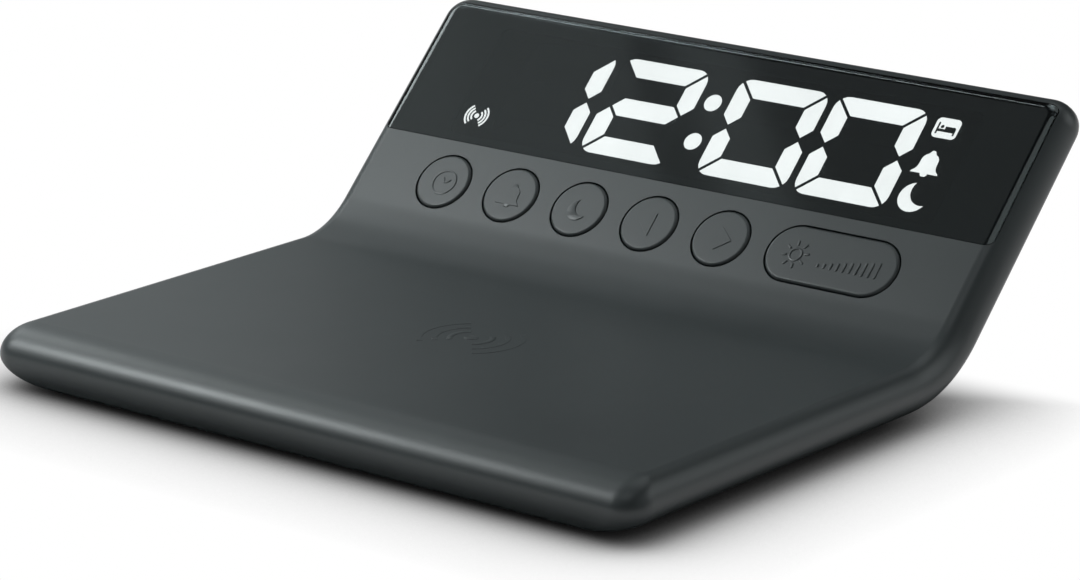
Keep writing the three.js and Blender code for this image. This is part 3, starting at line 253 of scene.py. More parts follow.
def cap_tree():
    """Tree that stands a round or long cap with a rounded edge on each point: keys and feet."""
    if "Rounded cap" in bpy.data.node_groups:
        return bpy.data.node_groups["Rounded cap"]
    tree, given = node_group("Rounded cap", [
        ("Geometry", "NodeSocketGeometry", "Points that the caps stand on"),
        ("Radius", "NodeSocketFloat", "Of the cap's ends"),
        ("Stretch", "NodeSocketFloat", "Half the straight length between the ends"),
        ("Height", "NodeSocketFloat", "Of the cap's face above its point"),
        ("Edge", "NodeSocketFloat", "Radius of the rounded edge"),
        ("Body", "NodeSocketFloat", "Wall below the rounded edge"),
        ("Turn", "NodeSocketVector", "Turn of each cap"),
        ("Material", "NodeSocketMaterial", "Finish of the caps"),
    ])
    # A grid is wrapped round: X is the turn about the cap, Y runs over face, edge, wall and underside
    grid = add_node(tree, "GeometryNodeMeshGrid", {"Size X": 1, "Size Y": 1, "Vertices X": 97, "Vertices Y": 21})
    position = add_node(tree, "GeometryNodeInputPosition")
    place = add_node(tree, "ShaderNodeSeparateXYZ", {0: position.outputs[0]}).outputs
    value = {key.lower(): given[key] for key in ("Radius", "Stretch", "Height", "Edge", "Body")}
    value.update(x=place["X"], half_turn=math.pi, full_turn=2 * math.pi)
    limits = ("From Min", "From Max", "To Min", "To Max")
    for name, *span in (
        ("face", -0.5, -0.4, 0, 1),
        ("bow", -0.4, 0.3, 0, math.pi / 2),
        ("wall", 0.3, 0.4, 0, 1),
        ("under", 0.4, 0.5, 1, 0),
    ):
        share = add_node(tree, "ShaderNodeMapRange", {"Value": place["Y"], **dict(zip(limits, span))})
        value[name] = share.outputs[0]
    for name, operation, *terms in (
        ("turn", "MULTIPLY_ADD", "x", "full_turn", "half_turn"),
        ("inner", "SUBTRACT", "radius", "edge"),
        ("flat", "MULTIPLY", "inner", "face"),
        ("bow_sine", "SINE", "bow"),
        ("bow_cosine", "COSINE", "bow"),
        ("over", "MULTIPLY_ADD", "edge", "bow_sine", "flat"),
        ("reach", "MULTIPLY", "over", "under"),
        ("shoulder", "SUBTRACT", "height", "edge"),
        ("high", "MULTIPLY_ADD", "edge", "bow_cosine", "shoulder"),
        ("sunk", "MULTIPLY", "body", "wall"),
        ("level", "SUBTRACT", "high", "sunk"),
        ("across", "COSINE", "turn"),
        ("along", "SINE", "turn"),
        ("side", "SIGN", "across"),
        ("drawn", "MULTIPLY", "side", "stretch"),
        ("cap_x", "MULTIPLY_ADD", "reach", "across", "drawn"),
        ("cap_y", "MULTIPLY", "reach", "along"),
    ):
        terms = {i: value[term] for i, term in enumerate(terms)}
        value[name] = add_node(tree, "ShaderNodeMath", terms, operation=operation).outputs[0]
    point = add_node(tree, "ShaderNodeCombineXYZ", {0: value["cap_x"], 1: value["cap_y"], 2: value["level"]})
    shaped = add_node(tree, "GeometryNodeSetPosition", {"Geometry": grid.outputs["Mesh"], "Position": point.outputs[0]})
    closed = add_node(tree, "GeometryNodeMergeByDistance", {"Geometry": shaped.outputs[0], "Distance": 2e-6})
    stood = add_node(tree, "GeometryNodeInstanceOnPoints", {
        "Points": given["Geometry"], "Instance": closed.outputs[0], "Rotation": given["Turn"],
    })
    return close_group(tree, stood.outputs[0], given["Material"])


def scatter_tree():
    """Tree that sets one shape on each point: the screws."""
    if "Set on points" in bpy.data.node_groups:
        return bpy.data.node_groups["Set on points"]
    tree, given = node_group("Set on points", [
        ("Geometry", "NodeSocketGeometry", "Points that the shapes sit on"),
        ("Shape", "NodeSocketObject", "Shape to repeat"),
        ("Material", "NodeSocketMaterial", "Finish of the shapes"),
    ])
    shape = add_node(tree, "GeometryNodeObjectInfo", {"Object": given["Shape"]})
    stood = add_node(tree, "GeometryNodeInstanceOnPoints", {
        "Points": given["Geometry"], "Instance": shape.outputs["Geometry"],
    })
    return close_group(tree, stood.outputs[0], given["Material"])


def run_tree(piece, tree, **values):
    """Puts a tree on a piece, with its inputs set by identifier; underscores stand for spaces."""
    modifier = piece.modifiers.new(tree.name, "NODES")
    modifier.node_group = tree
    for item in tree.interface.items_tree:
        key = item.name.replace(" ", "_")
        if item.in_out == "INPUT" and key in values:
            modifier[item.identifier] = values[key]
    return piece


def bend(piece, sizes, material):
    """Bends a flat piece with the slab."""
    return run_tree(
        piece, bend_tree(), Bend_Radius=sizes.bend_radius, Lean=sizes.lean, Place=bend_place(sizes), Material=material
    )


# Meshes


def new_piece(name, points, faces=()):
    """Object at the origin from points and faces."""
    mesh = bpy.data.meshes.new(name)
    mesh.from_pydata(points, [], faces)
    piece = bpy.data.objects.new(name, mesh)
    bpy.context.scene.collection.objects.link(piece)
    return piece


def discard(pieces):
    """Removes helper objects."""
    for piece in pieces:
        bpy.data.objects.remove(piece)


def settle(piece):
    """Turns what a piece's modifiers make into its plain mesh."""
    graph = bpy.context.evaluated_depsgraph_get()
    mesh = bpy.data.meshes.new_from_object(piece.evaluated_get(graph), preserve_all_data_layers=True, depsgraph=graph)
    piece.modifiers.clear()
    piece.data = mesh
    return piece


def face_outwards(piece):
    """Merges doubles and points the faces of closed shapes outwards."""
    work = bmesh.new()
    work.from_mesh(piece.data)
    bmesh.ops.remove_doubles(work, verts=work.verts, dist=1e-6)
    bmesh.ops.recalc_face_normals(work, faces=work.faces)
    work.to_mesh(piece.data)
    work.free()
    return piece


def smooth(piece, sharp=math.radians(32)):
    """Shades a piece smooth up to its sharp edges, with flat faces kept flat."""
    face_outwards(piece)
    piece.data.shade_smooth()
    piece.data.set_sharp_from_angle(angle=sharp)
    weighted = piece.modifiers.new("Flat faces first", "WEIGHTED_NORMAL")
    weighted.keep_sharp = True
    weighted.weight = 100
    return settle(piece)


def carve(piece, operation, cutters):
    """Adds one exact boolean with all the cutters."""
    group = bpy.data.collections.new(f"{piece.name}_{operation.lower()}")
    for cutter in cutters:
        group.objects.link(cutter)
    modifier = piece.modifiers.new(operation.title(), "BOOLEAN")
    modifier.operation = operation
    modifier.operand_type = "COLLECTION"
    modifier.collection = group
    modifier.solver = "EXACT"
    return piece


def stack(name, layers):
    """Closed shape through outlines of equal count at rising heights."""
    count = len(layers[0][0])
    points = [(x, y, z) for outline, z in layers for x, y in outline]
    faces = [tuple(range(count - 1, -1, -1)), tuple(range(len(points) - count, len(points)))]
    for ring in range(0, len(points) - count, count):
        for i in range(count):
            after = (i + 1) % count
            faces.append((ring + i, ring + after, ring + count + after, ring + count + i))
    return new_piece(name, points, faces)


def prism(name, outline, low, high):
    """Straight-walled block between two heights."""
    return stack(name, [(outline, low), (outline, high)])


def arc(x, y, radius, start, end, steps):
    """Points on an arc, both ends included; angles in degrees."""
    turns = [math.radians(start + (end - start) * i / steps) for i in range(steps + 1)]
    return [(x + radius * math.cos(turn), y + radius * math.sin(turn)) for turn in turns]


def rounded(left, low, right, high, radius, steps=16):
    """Outline of a rectangle with round corners."""
    return [
        *arc(right - radius, low + radius, radius, -90, 0, steps),
        *arc(right - radius, high - radius, radius, 0, 90, steps),
        *arc(left + radius, high - radius, radius, 90, 180, steps),
        *arc(left + radius, low + radius, radius, 180, 270, steps),
    ]


def long_round(x, y, half_length, radius):
    """Outline with round ends, whose straight stretches never quite shrink to a point."""
    slight = min(half_length, radius) * 1e-4
    return rounded(x - half_length - slight, y - radius - slight, x + half_length + slight, y + radius + slight, radius)


def half_outline(sizes, side, front, corner_steps, bend_steps):
    """Right half of the slab's flat outline, drawn in by insets, from the middle of the front to that of the top."""
    least = 0.5 * MM
    half = sizes.width / 2 - side
    nose = on_pad(sizes, sizes.pad_depth) + front
    crest = on_panel(sizes, sizes.panel_length) - side
    low = max(sizes.front_corner - min(side, front), least)
    high = max(sizes.top_corner - side, least)
    bent = sizes.bend_radius * sizes.lean
    return [
        *arc(half - low, nose + low, low, -90, 0, corner_steps),
        *((half, bent * i / bend_steps) for i in range(bend_steps + 1)),
        *arc(half - high, crest - high, high, 0, 90, corner_steps),
    ]


def lofted(sizes, name, levels, corner_steps=12, bend_steps=32):
    """Closed flat slab through levels of depth and insets, given from the face inwards."""
    points = []
    for depth, side, front in levels:
        right = half_outline(sizes, side, front, corner_steps, bend_steps)
        points += [(x, y, -depth) for x, y in right]
        points += [(-x, y, -depth) for x, y in reversed(right)]
    size = len(points) // len(levels)
    last = len(points) - size
    faces = []
    for ring in range(0, last, size):
        for i in range(size):
            after = (i + 1) % size
            faces.append((ring + i, ring + size + i, ring + size + after, ring + after))
    for i in range(size // 2 - 1):
        across = size - 1 - i
        faces.append((across, i, i + 1, across - 1))
        faces.append((last + across, last + across - 1, last + i + 1, last + i))
    return new_piece(name, points, faces)


def edge_inset(sizes, depth, reach, tuck):
    """Inset of the slab's rounded edge at a depth: a quarter ellipse above the widest line, another below it."""
    share = 1 - depth / sizes.widest_depth
    if depth > sizes.widest_depth:
        share, reach = (depth - sizes.widest_depth) / (sizes.thickness - sizes.widest_depth), tuck
    return reach * (1 - math.sqrt(max(0, 1 - share * share)))


def edge_level(sizes, depth, inset=0):
    """A depth with the insets of the slab's sides and front there, both drawn in further by one inset."""
    side = edge_inset(sizes, depth, sizes.side_round, sizes.side_tuck) + inset
    front = edge_inset(sizes, depth, sizes.front_round, sizes.front_tuck) + inset
    return depth, side, front


def slab(sizes, name, steps=16):
    """Flat slab with its rounded edge."""
    depths = [sizes.widest_depth * (1 - math.cos(i / steps * math.pi / 2)) for i in range(steps)]
    below = sizes.thickness - sizes.widest_depth
    depths += [sizes.widest_depth + below * math.sin(i / steps * math.pi / 2) for i in range(steps + 1)]
    return lofted(sizes, name, [edge_level(sizes, depth) for depth in depths])


def hollow(sizes, name, steps=6):
    """Space inside the upper shell, one wall in from the outside, down to the ledge that carries the lower shell."""
    ledge_over_plate = 1.6 * MM
    floor = sizes.thickness - sizes.plate - ledge_over_plate
    depths = [sizes.wall + (floor - sizes.wall) * i / steps for i in range(steps + 1)]
    return lofted(sizes, name, [edge_level(sizes, depth, sizes.wall) for depth in depths], corner_steps=6)


def opening(sizes, name, depth, inset):
    """Straight-walled opening of the underside from a depth outwards."""
    side, front = sizes.parting_side + inset, sizes.parting_front + inset
    return lofted(sizes, name, [(depth, side, front), (sizes.thickness + OVERRUN, side, front)])


def relief(name, outlines, low, high, soft=0.04 * MM):
    """Raised flat shape from closed outlines, where one inside another is a hole, with slightly soft edges."""
    curve = bpy.data.curves.new(name, "CURVE")
    curve.dimensions = "2D"
    curve.fill_mode = "BOTH"
    curve.extrude = (high - low) / 2 - soft
    curve.bevel_depth = soft
    curve.bevel_resolution = 1
    for outline in outlines:
        spline = curve.splines.new("POLY")
        spline.points.add(len(outline) - 1)
        for point, (x, y) in zip(spline.points, outline):
            point.co = (x, y, 0, 1)
        spline.use_cyclic_u = True
    drawn = bpy.data.objects.new(name, curve)
    bpy.context.scene.collection.objects.link(drawn)
    graph = bpy.context.evaluated_depsgraph_get()
    mesh = bpy.data.meshes.new_from_object(drawn.evaluated_get(graph))
    discard([drawn])
    mesh.name = name
    mesh.transform(Matrix.Translation((0, 0, (low + high) / 2)))
    piece = bpy.data.objects.new(name, mesh)
    bpy.context.scene.collection.objects.link(piece)
    return piece


# Signs: each returns closed outlines about its own middle, in metres


def moved(outlines, x, y):
    """Outlines shifted to a place."""
    return [[(px + x, py + y) for px, py in outline] for outline in outlines]


def bar(start, end, width):
    """Straight stroke with round ends."""
    turn = math.degrees(math.atan2(end[1] - start[1], end[0] - start[0]))
    return [*arc(*end, width / 2, turn - 90, turn + 90, 8), *arc(*start, width / 2, turn + 90, turn + 270, 8)]


def band(radius, width, start, end, steps=20):
    """Part of a ring, in degrees."""
    outer = arc(0, 0, radius + width / 2, start, end, steps)
    return outer + arc(0, 0, radius - width / 2, end, start, steps)


def disc(x, y, radius, steps=32):
    """Full circle."""
    return arc(x, y, radius, 0, 360 * (1 - 1 / steps), steps - 1)


def charging_sign(reach, width, half_angle, dot):
    """Dot with three arcs to each side."""
    outlines = [disc(0, 0, dot)]
    for radius in reach:
        outlines.append(band(radius, width, -half_angle, half_angle))
        outlines.append(band(radius, width, 180 - half_angle, 180 + half_angle))
    return outlines


def bell_sign(size):
    """Bell with a flared mouth, a knob on top and the edge of its clapper."""
    right = [
        (0.07, -0.47), (0.115, -0.42), (0.13, -0.36), (0.5, -0.36), (0.47, -0.3), (0.38, -0.23), (0.33, -0.13),
        (0.31, 0), (0.31, 0.13), (0.29, 0.22), (0.22, 0.31), (0.12, 0.37), (0.09, 0.43), (0.05, 0.485),
    ]
    left = [(-x, y) for x, y in reversed(right)]
    return [[(x * size, y * size) for x, y in (*right, *left)]]


def moon_sign(size):
    """Crescent between two circles of one size, open to the upper right."""
    radius, apart, lean = size / 2, 0.41 * size, 38
    half = math.degrees(math.acos(apart / size))
    outer = arc(0, 0, radius, lean + half, lean + 360 - half, 40)
    x, y = apart * math.cos(math.radians(lean)), apart * math.sin(math.radians(lean))
    return [outer + arc(x, y, radius, lean + 180 + half, lean + 180 - half, 32)[1:-1]]


def clock_sign(size, width):
    """Dial with two hands."""
    hands = [bar((0, 0), (-0.1 * size, 0.17 * size), width), bar((0.07 * size, 0), (0.22 * size, 0.12 * size), width)]
    return [disc(0, 0, size / 2), disc(0, 0, size / 2 - width), *hands]


def arrow_sign(size, side):
    """Triangle that points to one side."""
    return [[(side * x * size, y * size) for x, y in ((0.43, 0), (-0.12, 0.46), (-0.12, -0.46))]]


def sun_sign(size, width):
    """Ring with eight rays."""
    outlines = [disc(0, 0, 0.26 * size), disc(0, 0, 0.26 * size - width)]
    for i in range(8):
        turn = math.radians(45 * i + 10)
        near, far = 0.37 * size, 0.5 * size
        ray = ((near * math.cos(turn), near * math.sin(turn)), (far * math.cos(turn), far * math.sin(turn)))
        outlines.append(bar(*ray, width))
    return outlines


def level_sign(size, count, width, pitch):
    """Row of upright bars that grow to the right."""
    bars = []
    for i in range(count):
        x = (i - (count - 1) / 2) * pitch
        foot, head = (x, -size / 2), (x, -size / 2 + size * (i + 1) / count)
        bars.append(bar(foot, head, width))
    return bars


def bed_sign(width, height, corner):
    """Rounded box with a bed cut out of it: headboard, blanket, two legs and a pillow."""
    bed = [
        (-2.1, -1.4), (-1.65, -1.4), (-1.65, -0.85), (1.65, -0.85), (1.65, -1.4), (2.1, -1.4), (2.1, 0.1),
        (1.75, 0.45), (-0.35, 0.45), (-0.35, -0.2), (-1.65, -0.2), (-1.65, 1.2), (-2.1, 1.2),
    ]
    box = rounded(-width / 2, -height / 2, width / 2, height / 2, corner, 8)
    scale = 0.19 * width
    return [box, [(x * scale, y * scale) for x, y in bed], disc(-scale, 0.28 * scale, 0.4 * scale, 16)]


def digit_strokes(sizes, left, margin):
    """Seven mitred strokes of a digit by letter, drawn in by a margin."""
    wide, high, stroke, corner = sizes.digit_width, sizes.digit_height, sizes.stroke, sizes.digit_corner
    mitre = (sizes.stroke_gap / 2 + margin) * math.sqrt(2)
    radius = corner - margin
    inner, half, middle = stroke - margin, stroke / 2 - margin, high / 2
    start = 45 + math.degrees(math.acos(mitre / (radius * math.sqrt(2))))
    finish = 45 + math.degrees(math.acos(-mitre / (radius * math.sqrt(2))))
    head = arc(corner, high - corner, radius, start, 90, 6)
    cheek = arc(corner, high - corner, radius, 180, finish, 6)
    top = [(inner + mitre, high - inner), *head]
    top += [(wide - x, y) for x, y in reversed(top)]
    upper = [(inner, high - inner - mitre), (inner, middle + half + mitre), (stroke / 2, middle + mitre)]
    upper += [(margin, middle + half + mitre), *cheek]
    spread = stroke / 2 + mitre
    dash = [(spread, middle), (spread + half, middle + half), (wide - spread - half, middle + half)]
    dash += [(wide - spread, middle), (wide - spread - half, middle - half), (spread + half, middle - half)]
    strokes = {
        "a": top, "d": [(x, high - y) for x, y in top], "f": upper, "b": [(wide - x, y) for x, y in upper],
        "e": [(x, high - y) for x, y in upper], "c": [(wide - x, high - y) for x, y in upper], "g": dash,
    }
    base = on_panel(sizes, sizes.digit_base)
    return {key: moved([outline], left, base)[0] for key, outline in strokes.items()}


# Finishes


def new_material(name):
    """Empty material; returns it, its tree and its Object coordinates."""
    material = bpy.data.materials.new(name)
    material.use_nodes = True
    tree = material.node_tree
    tree.nodes.clear()
    return material, tree, add_node(tree, "ShaderNodeTexCoord").outputs["Object"]


def close_material(material, shader):
    """Links the shader to the output."""
    add_node(material.node_tree, "ShaderNodeOutputMaterial", {"Surface": shader.outputs[0]})
    return material


def grained(name, tone, roughness, grain, relief_depth, **sockets):
    """Moulded or coated surface: a grain of the given size in relief, and faint broad changes of tone and gloss."""
    patch, low, high, tone_change, gloss_change = 30 * MM, 0.3, 0.7, 0.06, 0.02
    material, tree, place = new_material(name)
    fine = add_node(tree, "ShaderNodeTexNoise", {"Vector": place, "Scale": 1 / grain, "Detail": 2.0})
    broad = add_node(tree, "ShaderNodeTexNoise", {"Vector": place, "Scale": 1 / patch, "Detail": 3.0})
    shade = add_node(tree, "ShaderNodeValToRGB", {"Fac": broad.outputs[0]})
    for stop, position, side in zip(shade.color_ramp.elements, (low, high), (-1, 1)):
        stop.position = position
        stop.color = (*(v * (1 + side * tone_change) for v in tone), 1)
    gloss = add_node(tree, "ShaderNodeMapRange", {
        "Value": broad.outputs[0], "From Min": low, "From Max": high,
        "To Min": roughness - gloss_change, "To Max": roughness + gloss_change,
    })
    bump = add_node(tree, "ShaderNodeBump", {"Height": fine.outputs[0], "Strength": 1.0, "Distance": relief_depth})
    return close_material(material, add_node(tree, "ShaderNodeBsdfPrincipled", {
        "Base Color": shade.outputs[0], "Roughness": gloss.outputs[0], "Normal": bump.outputs[0], **sockets,
    }))


def soft_touch(name, tone):
    """Rubbery lacquer on ABS: dark, low in gloss with a broad sheen, and so even that its grain hardly shows."""
    return grained(name, tone, roughness=0.4, grain=0.25 * MM, relief_depth=0.0012 * MM, IOR=1.5)


def moulded_abs(name, tone):
    """Spark-eroded ABS: a fine, even grain that scatters the light; drawn at 0.4 mm so that it shows."""
    return grained(name, tone, roughness=0.58, grain=0.4 * MM, relief_depth=0.02 * MM, IOR=1.53)


def smoked_acrylic(colours):
    """Polished PMMA with a grey dye: a slightly cool mirror in front, and only what is lit shows through."""
    material, tree, place = new_material("smoked_acrylic")
    wave = add_node(tree, "ShaderNodeTexNoise", {"Vector": place, "Scale": 1 / (18 * MM), "Detail": 1.0})
    gloss = add_node(tree, "ShaderNodeMapRange", {"Value": wave.outputs[0], "To Min": 0.05, "To Max": 0.09})
    return close_material(material, add_node(tree, "ShaderNodeBsdfPrincipled", {
        "Base Color": (*colours.smoke, 1), "Roughness": gloss.outputs[0], "IOR": 1.49, "Transmission Weight": 1.0,
        "Specular Tint": (0.9, 1, 1, 1),
    }))


def lit_diffuser(colours):
    """Milky light guide with its lamp on: an even white that changes by a few hundredths from place to place."""
    material, tree, place = new_material("lit_diffuser")
    cloud = add_node(tree, "ShaderNodeTexNoise", {"Vector": place, "Scale": 1 / (9 * MM), "Detail": 0.0})
    power = add_node(tree, "ShaderNodeMapRange", {"Value": cloud.outputs[0], "To Min": 6.1, "To Max": 6.9})
    return close_material(material, add_node(tree, "ShaderNodeBsdfPrincipled", {
        "Base Color": (*colours.lit, 1), "Roughness": 0.5, "Emission Color": (*colours.lit, 1),
        "Emission Strength": power.outputs[0],
    }))


def metal(name, code, roughness, scratch):
    """Metal whose gloss changes along fine marks that run one way."""
    duller, brighter = 0.1, 0.08
    material, tree, place = new_material(name)
    drawn = add_node(tree, "ShaderNodeMapping", {"Vector": place, "Scale": (1, 1, 12)})
    marks = add_node(tree, "ShaderNodeTexNoise", {"Vector": drawn.outputs[0], "Scale": 1 / scratch, "Detail": 3.0})
    gloss = add_node(tree, "ShaderNodeMapRange", {
        "Value": marks.outputs[0], "To Min": roughness - brighter, "To Max": roughness + duller,
    })
    return close_material(material, add_node(tree, "ShaderNodeBsdfPrincipled", {
        "Base Color": (*linear(code), 1), "Metallic": 1.0, "Roughness": gloss.outputs[0],
    }))


def dress(material, nodes):
    """Gives CAD nodes a finish."""
    for name in nodes:
        slots = frame["nodes"][name].data.materials
        slots.clear()
        slots.append(material)


def finish_piece(piece, body, nodes=(), helpers=()):
    """Makes a piece a plain smooth mesh, fixes it to its body, and hides the CAD nodes it stands for."""
    settle(piece)
    discard(helpers)
    smooth(piece)
    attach(piece, body)
    if nodes:
        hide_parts(*nodes)


# Places that more than one piece shares


def lens_outline(sizes, grow):
    """Flat outline of the lens, grown by a margin."""
    half = sizes.width / 2 - sizes.lens_side + grow
    low, high = on_panel(sizes, sizes.lens_bottom) - grow, on_panel(sizes, sizes.panel_length - sizes.lens_top) + grow
    return rounded(-half, low, half, high, sizes.lens_corner + grow)


def key_places(sizes):
    """Names, centres and stretches of the six keys."""
    round_keys = [(f"{name}_key", sizes.key_first + i * sizes.key_pitch, 0.0) for i, name in enumerate(KEYS)]
    return [*round_keys, ("snooze_key", sizes.key_long, sizes.key_stretch)]


def foot_places(sizes):
    """Flat centres of the four feet."""
    from_middle, front, back = 50 * MM, on_pad(sizes, 95 * MM), -3.6 * MM
    return [(side * from_middle, y) for side in (-1, 1) for y in (front, back)]


def screw_places(sizes):
    """Flat centres of the housing screws: four under the pad, two behind the panel."""
    pad_x, pad_front, pad_back = 60 * MM, on_pad(sizes, 84 * MM), on_pad(sizes, 24 * MM)
    panel_x, panel_y = 70 * MM, on_panel(sizes, 36 * MM)
    under_pad = [(side * pad_x, y) for side in (-1, 1) for y in (pad_front, pad_back)]
    return [*under_pad, (-panel_x, panel_y), (panel_x, panel_y)]


class ClockOperator:
    """What the clock's operators share."""

    bl_options = {"REGISTER", "UNDO"}


class CLOCK_OT_shell(ClockOperator, bpy.types.Operator):
    """Builds the upper shell: pad, bend and panel in one, with its lens recess and key holes, and the charging sign"""

    bl_idname = "clock.shell"
    bl_label = "Upper Shell"

    def execute(self, context):
        sizes, colours = context.scene.clock_sizes, context.scene.clock_colours
        shell = slab(sizes, "shell_skin")
        inside = hollow(sizes, "hollow")
        ledge, ledge_width, ledge_height = sizes.thickness - sizes.plate - sizes.seat, 1.5 * MM, 2.5 * MM
        mouth = opening(sizes, "mouth", ledge - ledge_height, ledge_width)
        step = opening(sizes, "step", ledge, 0)
        frame_ring = prism("frame_ring", lens_outline(sizes, sizes.seat), low=-3.2 * MM, high=-1 * MM)
        lens_gap = 0.14 * MM
        recess = prism("recess", lens_outline(sizes, lens_gap), -sizes.lens - sizes.seat, MM)
        half, foot, head, corner = 65.5 * MM, on_panel(sizes, 30.6 * MM), on_panel(sizes, 59.6 * MM), 2 * MM
        window = prism("window", rounded(-half, foot, half, head, corner), low=-5 * MM, high=0)
        carve(shell, "DIFFERENCE", [inside, mouth, step])
        carve(shell, "UNION", [frame_ring])
        holes = self.key_holes(sizes)
        carve(shell, "DIFFERENCE", [recess, window, *holes])
        coat = soft_touch("soft_touch_coat", colours.shell)
        cutters = [inside, mouth, step, frame_ring, recess, window, *holes]
        finish_piece(bend(shell, sizes, coat), HOUSING, ["upper_shell"], cutters)

        sign = charging_sign([r * MM for r in (4.5, 7.7, 10.9)], width=1.15 * MM, half_angle=50, dot=1.5 * MM)
        sign = moved(sign, -1.3 * MM, on_pad(sizes, 47.4 * MM))
        mark = relief("charging_sign", sign, low=-0.1 * MM, high=0.06 * MM)
        finish_piece(bend(mark, sizes, coat), HOUSING)
        return {"FINISHED"}

    def key_holes(self, sizes):
        """Cutters for the keys' holes, with a slight flare at the rim."""
        flare, deep = 0.06 * MM, -5 * MM
        rims = ((0, deep), (0, -flare), (flare, 0), (flare + MM, MM))
        centre, radius = on_panel(sizes, sizes.key_rise), sizes.key_radius + sizes.key_gap
        return [stack(f"{name}_hole", [
            (long_round(x, centre, stretch + radius + grow, radius + grow), z) for grow, z in rims
        ]) for name, x, stretch in key_places(sizes)]


class CLOCK_OT_lower_shell(ClockOperator, bpy.types.Operator):
    """Builds the lower shell with its screw wells, its recesses and the slot for the power inlet"""

    bl_idname = "clock.lower_shell"
    bl_label = "Lower Shell"

    def execute(self, context):
        sizes, colours = context.scene.clock_sizes, context.scene.clock_colours
        skin = moulded_abs("spark_eroded_abs", colours.underside)
        below = -sizes.thickness - OVERRUN
        lower = slab(sizes, "underside_skin")
        plug = opening(sizes, "plug", sizes.thickness - sizes.plate, sizes.seat)
        well_radius, well_roof = 2.7 * MM, -9 * MM
        cutters = [prism("well", disc(x, y, well_radius), below, well_roof) for x, y in screw_places(sizes)]
        foot_half, foot_radius, foot_roof = 8.3 * MM, 3.3 * MM, -11.4 * MM
        for x, y in foot_places(sizes):
            cutters.append(prism("foot_recess", long_round(x, y, foot_half, foot_radius), below, foot_roof))
        cutters.append(prism("door_recess", self.door_outline(sizes), below, high=-10.1 * MM))
        carve(lower, "INTERSECT", [plug])
        carve(lower, "DIFFERENCE", cutters)
        bend(lower, sizes, skin)
        slot = self.inlet_slot()
        carve(lower, "DIFFERENCE", [slot])
        finish_piece(lower, HOUSING, ["lower_shell"], [plug, slot, *cutters])
        dress(skin, ["battery_door"])
        return {"FINISHED"}

    def door_outline(self, sizes):
        """Flat outline of the battery door's recess: a disc with a round tab for the door's screw."""
        x, y, radius = -48 * MM, on_pad(sizes, 58 * MM), 12.1 * MM
        tab_radius, tab_reach = 4.1 * MM, 16 * MM
        meet = math.degrees(math.asin(tab_radius / radius))
        return [
            *arc(x, y, radius, 90 + meet, 450 - meet, 64),
            *arc(x, y + tab_reach, tab_radius, 0, 180, 24),
        ]

    def inlet_slot(self):
        """Cutter that clears the power inlet from front to back."""
        gap, reach = 0.5 * MM, 12 * MM
        low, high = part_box("power_inlet")
        half = (high - low) / 2
        slot = prism("inlet_slot", long_round(0, 0, half.x + gap, half.z + gap), -reach, reach)
        slot.data.transform(Matrix.Translation((low + high) / 2) @ Matrix.Rotation(math.radians(90), 4, "X"))
        return slot


class CLOCK_OT_feet(ClockOperator, bpy.types.Operator):
    """Builds the four feet"""

    bl_idname = "clock.feet"
    bl_label = "Feet"

    def execute(self, context):
        sizes = context.scene.clock_sizes
        # Moulded silicone rubber: nearly black and dull, with a faint grain from its mould
        rubber = grained("silicone_rubber", linear("#191a1b"), roughness=0.75, grain=0.3 * MM, relief_depth=0.01 * MM)
        root = -11.7 * MM
        feet = new_piece("feet", [(x, y, root) for x, y in foot_places(sizes)])
        run_tree(
            feet, cap_tree(), Radius=3 * MM, Stretch=5 * MM, Height=1.5 * MM, Edge=0.4 * MM, Body=1.1 * MM,
            Turn=(math.pi, 0, 0), Material=rubber,
        )
        nodes = [f"foot_{i}" for i in range(1, 5)]
        finish_piece(bend(feet, sizes, rubber), HOUSING, nodes)
        return {"FINISHED"}


class CLOCK_OT_screws(ClockOperator, bpy.types.Operator):
    """Builds the housing screws, and gives the other plated pieces of the underside their finish"""

    bl_idname = "clock.screws"
    bl_label = "Housing Screws"

    def execute(self, context):
        sizes = context.scene.clock_sizes
        # Zinc plated on drawn steel: a cool, half bright grey, streaked along the wire it was made from
        steel = metal("zinc_plated_steel", "#b9bbbd", roughness=0.3, scratch=0.15 * MM)
        bearing = -9.3 * MM
        head = self.screw_head()
        screws = new_piece("housing_screws", [(x, y, bearing) for x, y in screw_places(sizes)])
        run_tree(screws, scatter_tree(), Shape=head, Material=steel)
        nodes = [f"base_housing_screw_{i}" for i in range(1, 5)] + [f"panel_housing_screw_{i}" for i in (1, 2)]
        finish_piece(bend(screws, sizes, steel), HOUSING, nodes, [head])
        dress(steel, ["battery_door_screw", "power_inlet", "coin_cell"])
        return {"FINISHED"}

    def screw_head(self):
        """Pan head with a cross recess and its shank, pointing down from its bearing face."""
        # Height over the bearing face and radius, in millimetres, from the top of the head to the tip
        profile = (
            (1.6, 0.9), (1.55, 1.5), (1.3, 2.05), (0.9, 2.32), (0.5, 2.4), (0, 2.4), (0, 1), (-4.6, 1), (-5.6, 0.2),
        )
        head = stack("screw_head", [(disc(0, 0, radius * MM, 24), -height * MM) for height, radius in profile])
        half_length, half_width, corner = 1.2 * MM, 0.25 * MM, 0.1 * MM
        blades = []
        for turn in (0, 90):
            outline = rounded(-half_length, -half_width, half_length, half_width, corner, 2)
            blade = prism("blade", outline, low=-3 * MM, high=-0.7 * MM)
            blade.data.transform(Matrix.Rotation(math.radians(turn), 4, "Z"))
            blades.append(blade)
        carve(head, "DIFFERENCE", blades)
        settle(head)
        discard(blades)
        return head


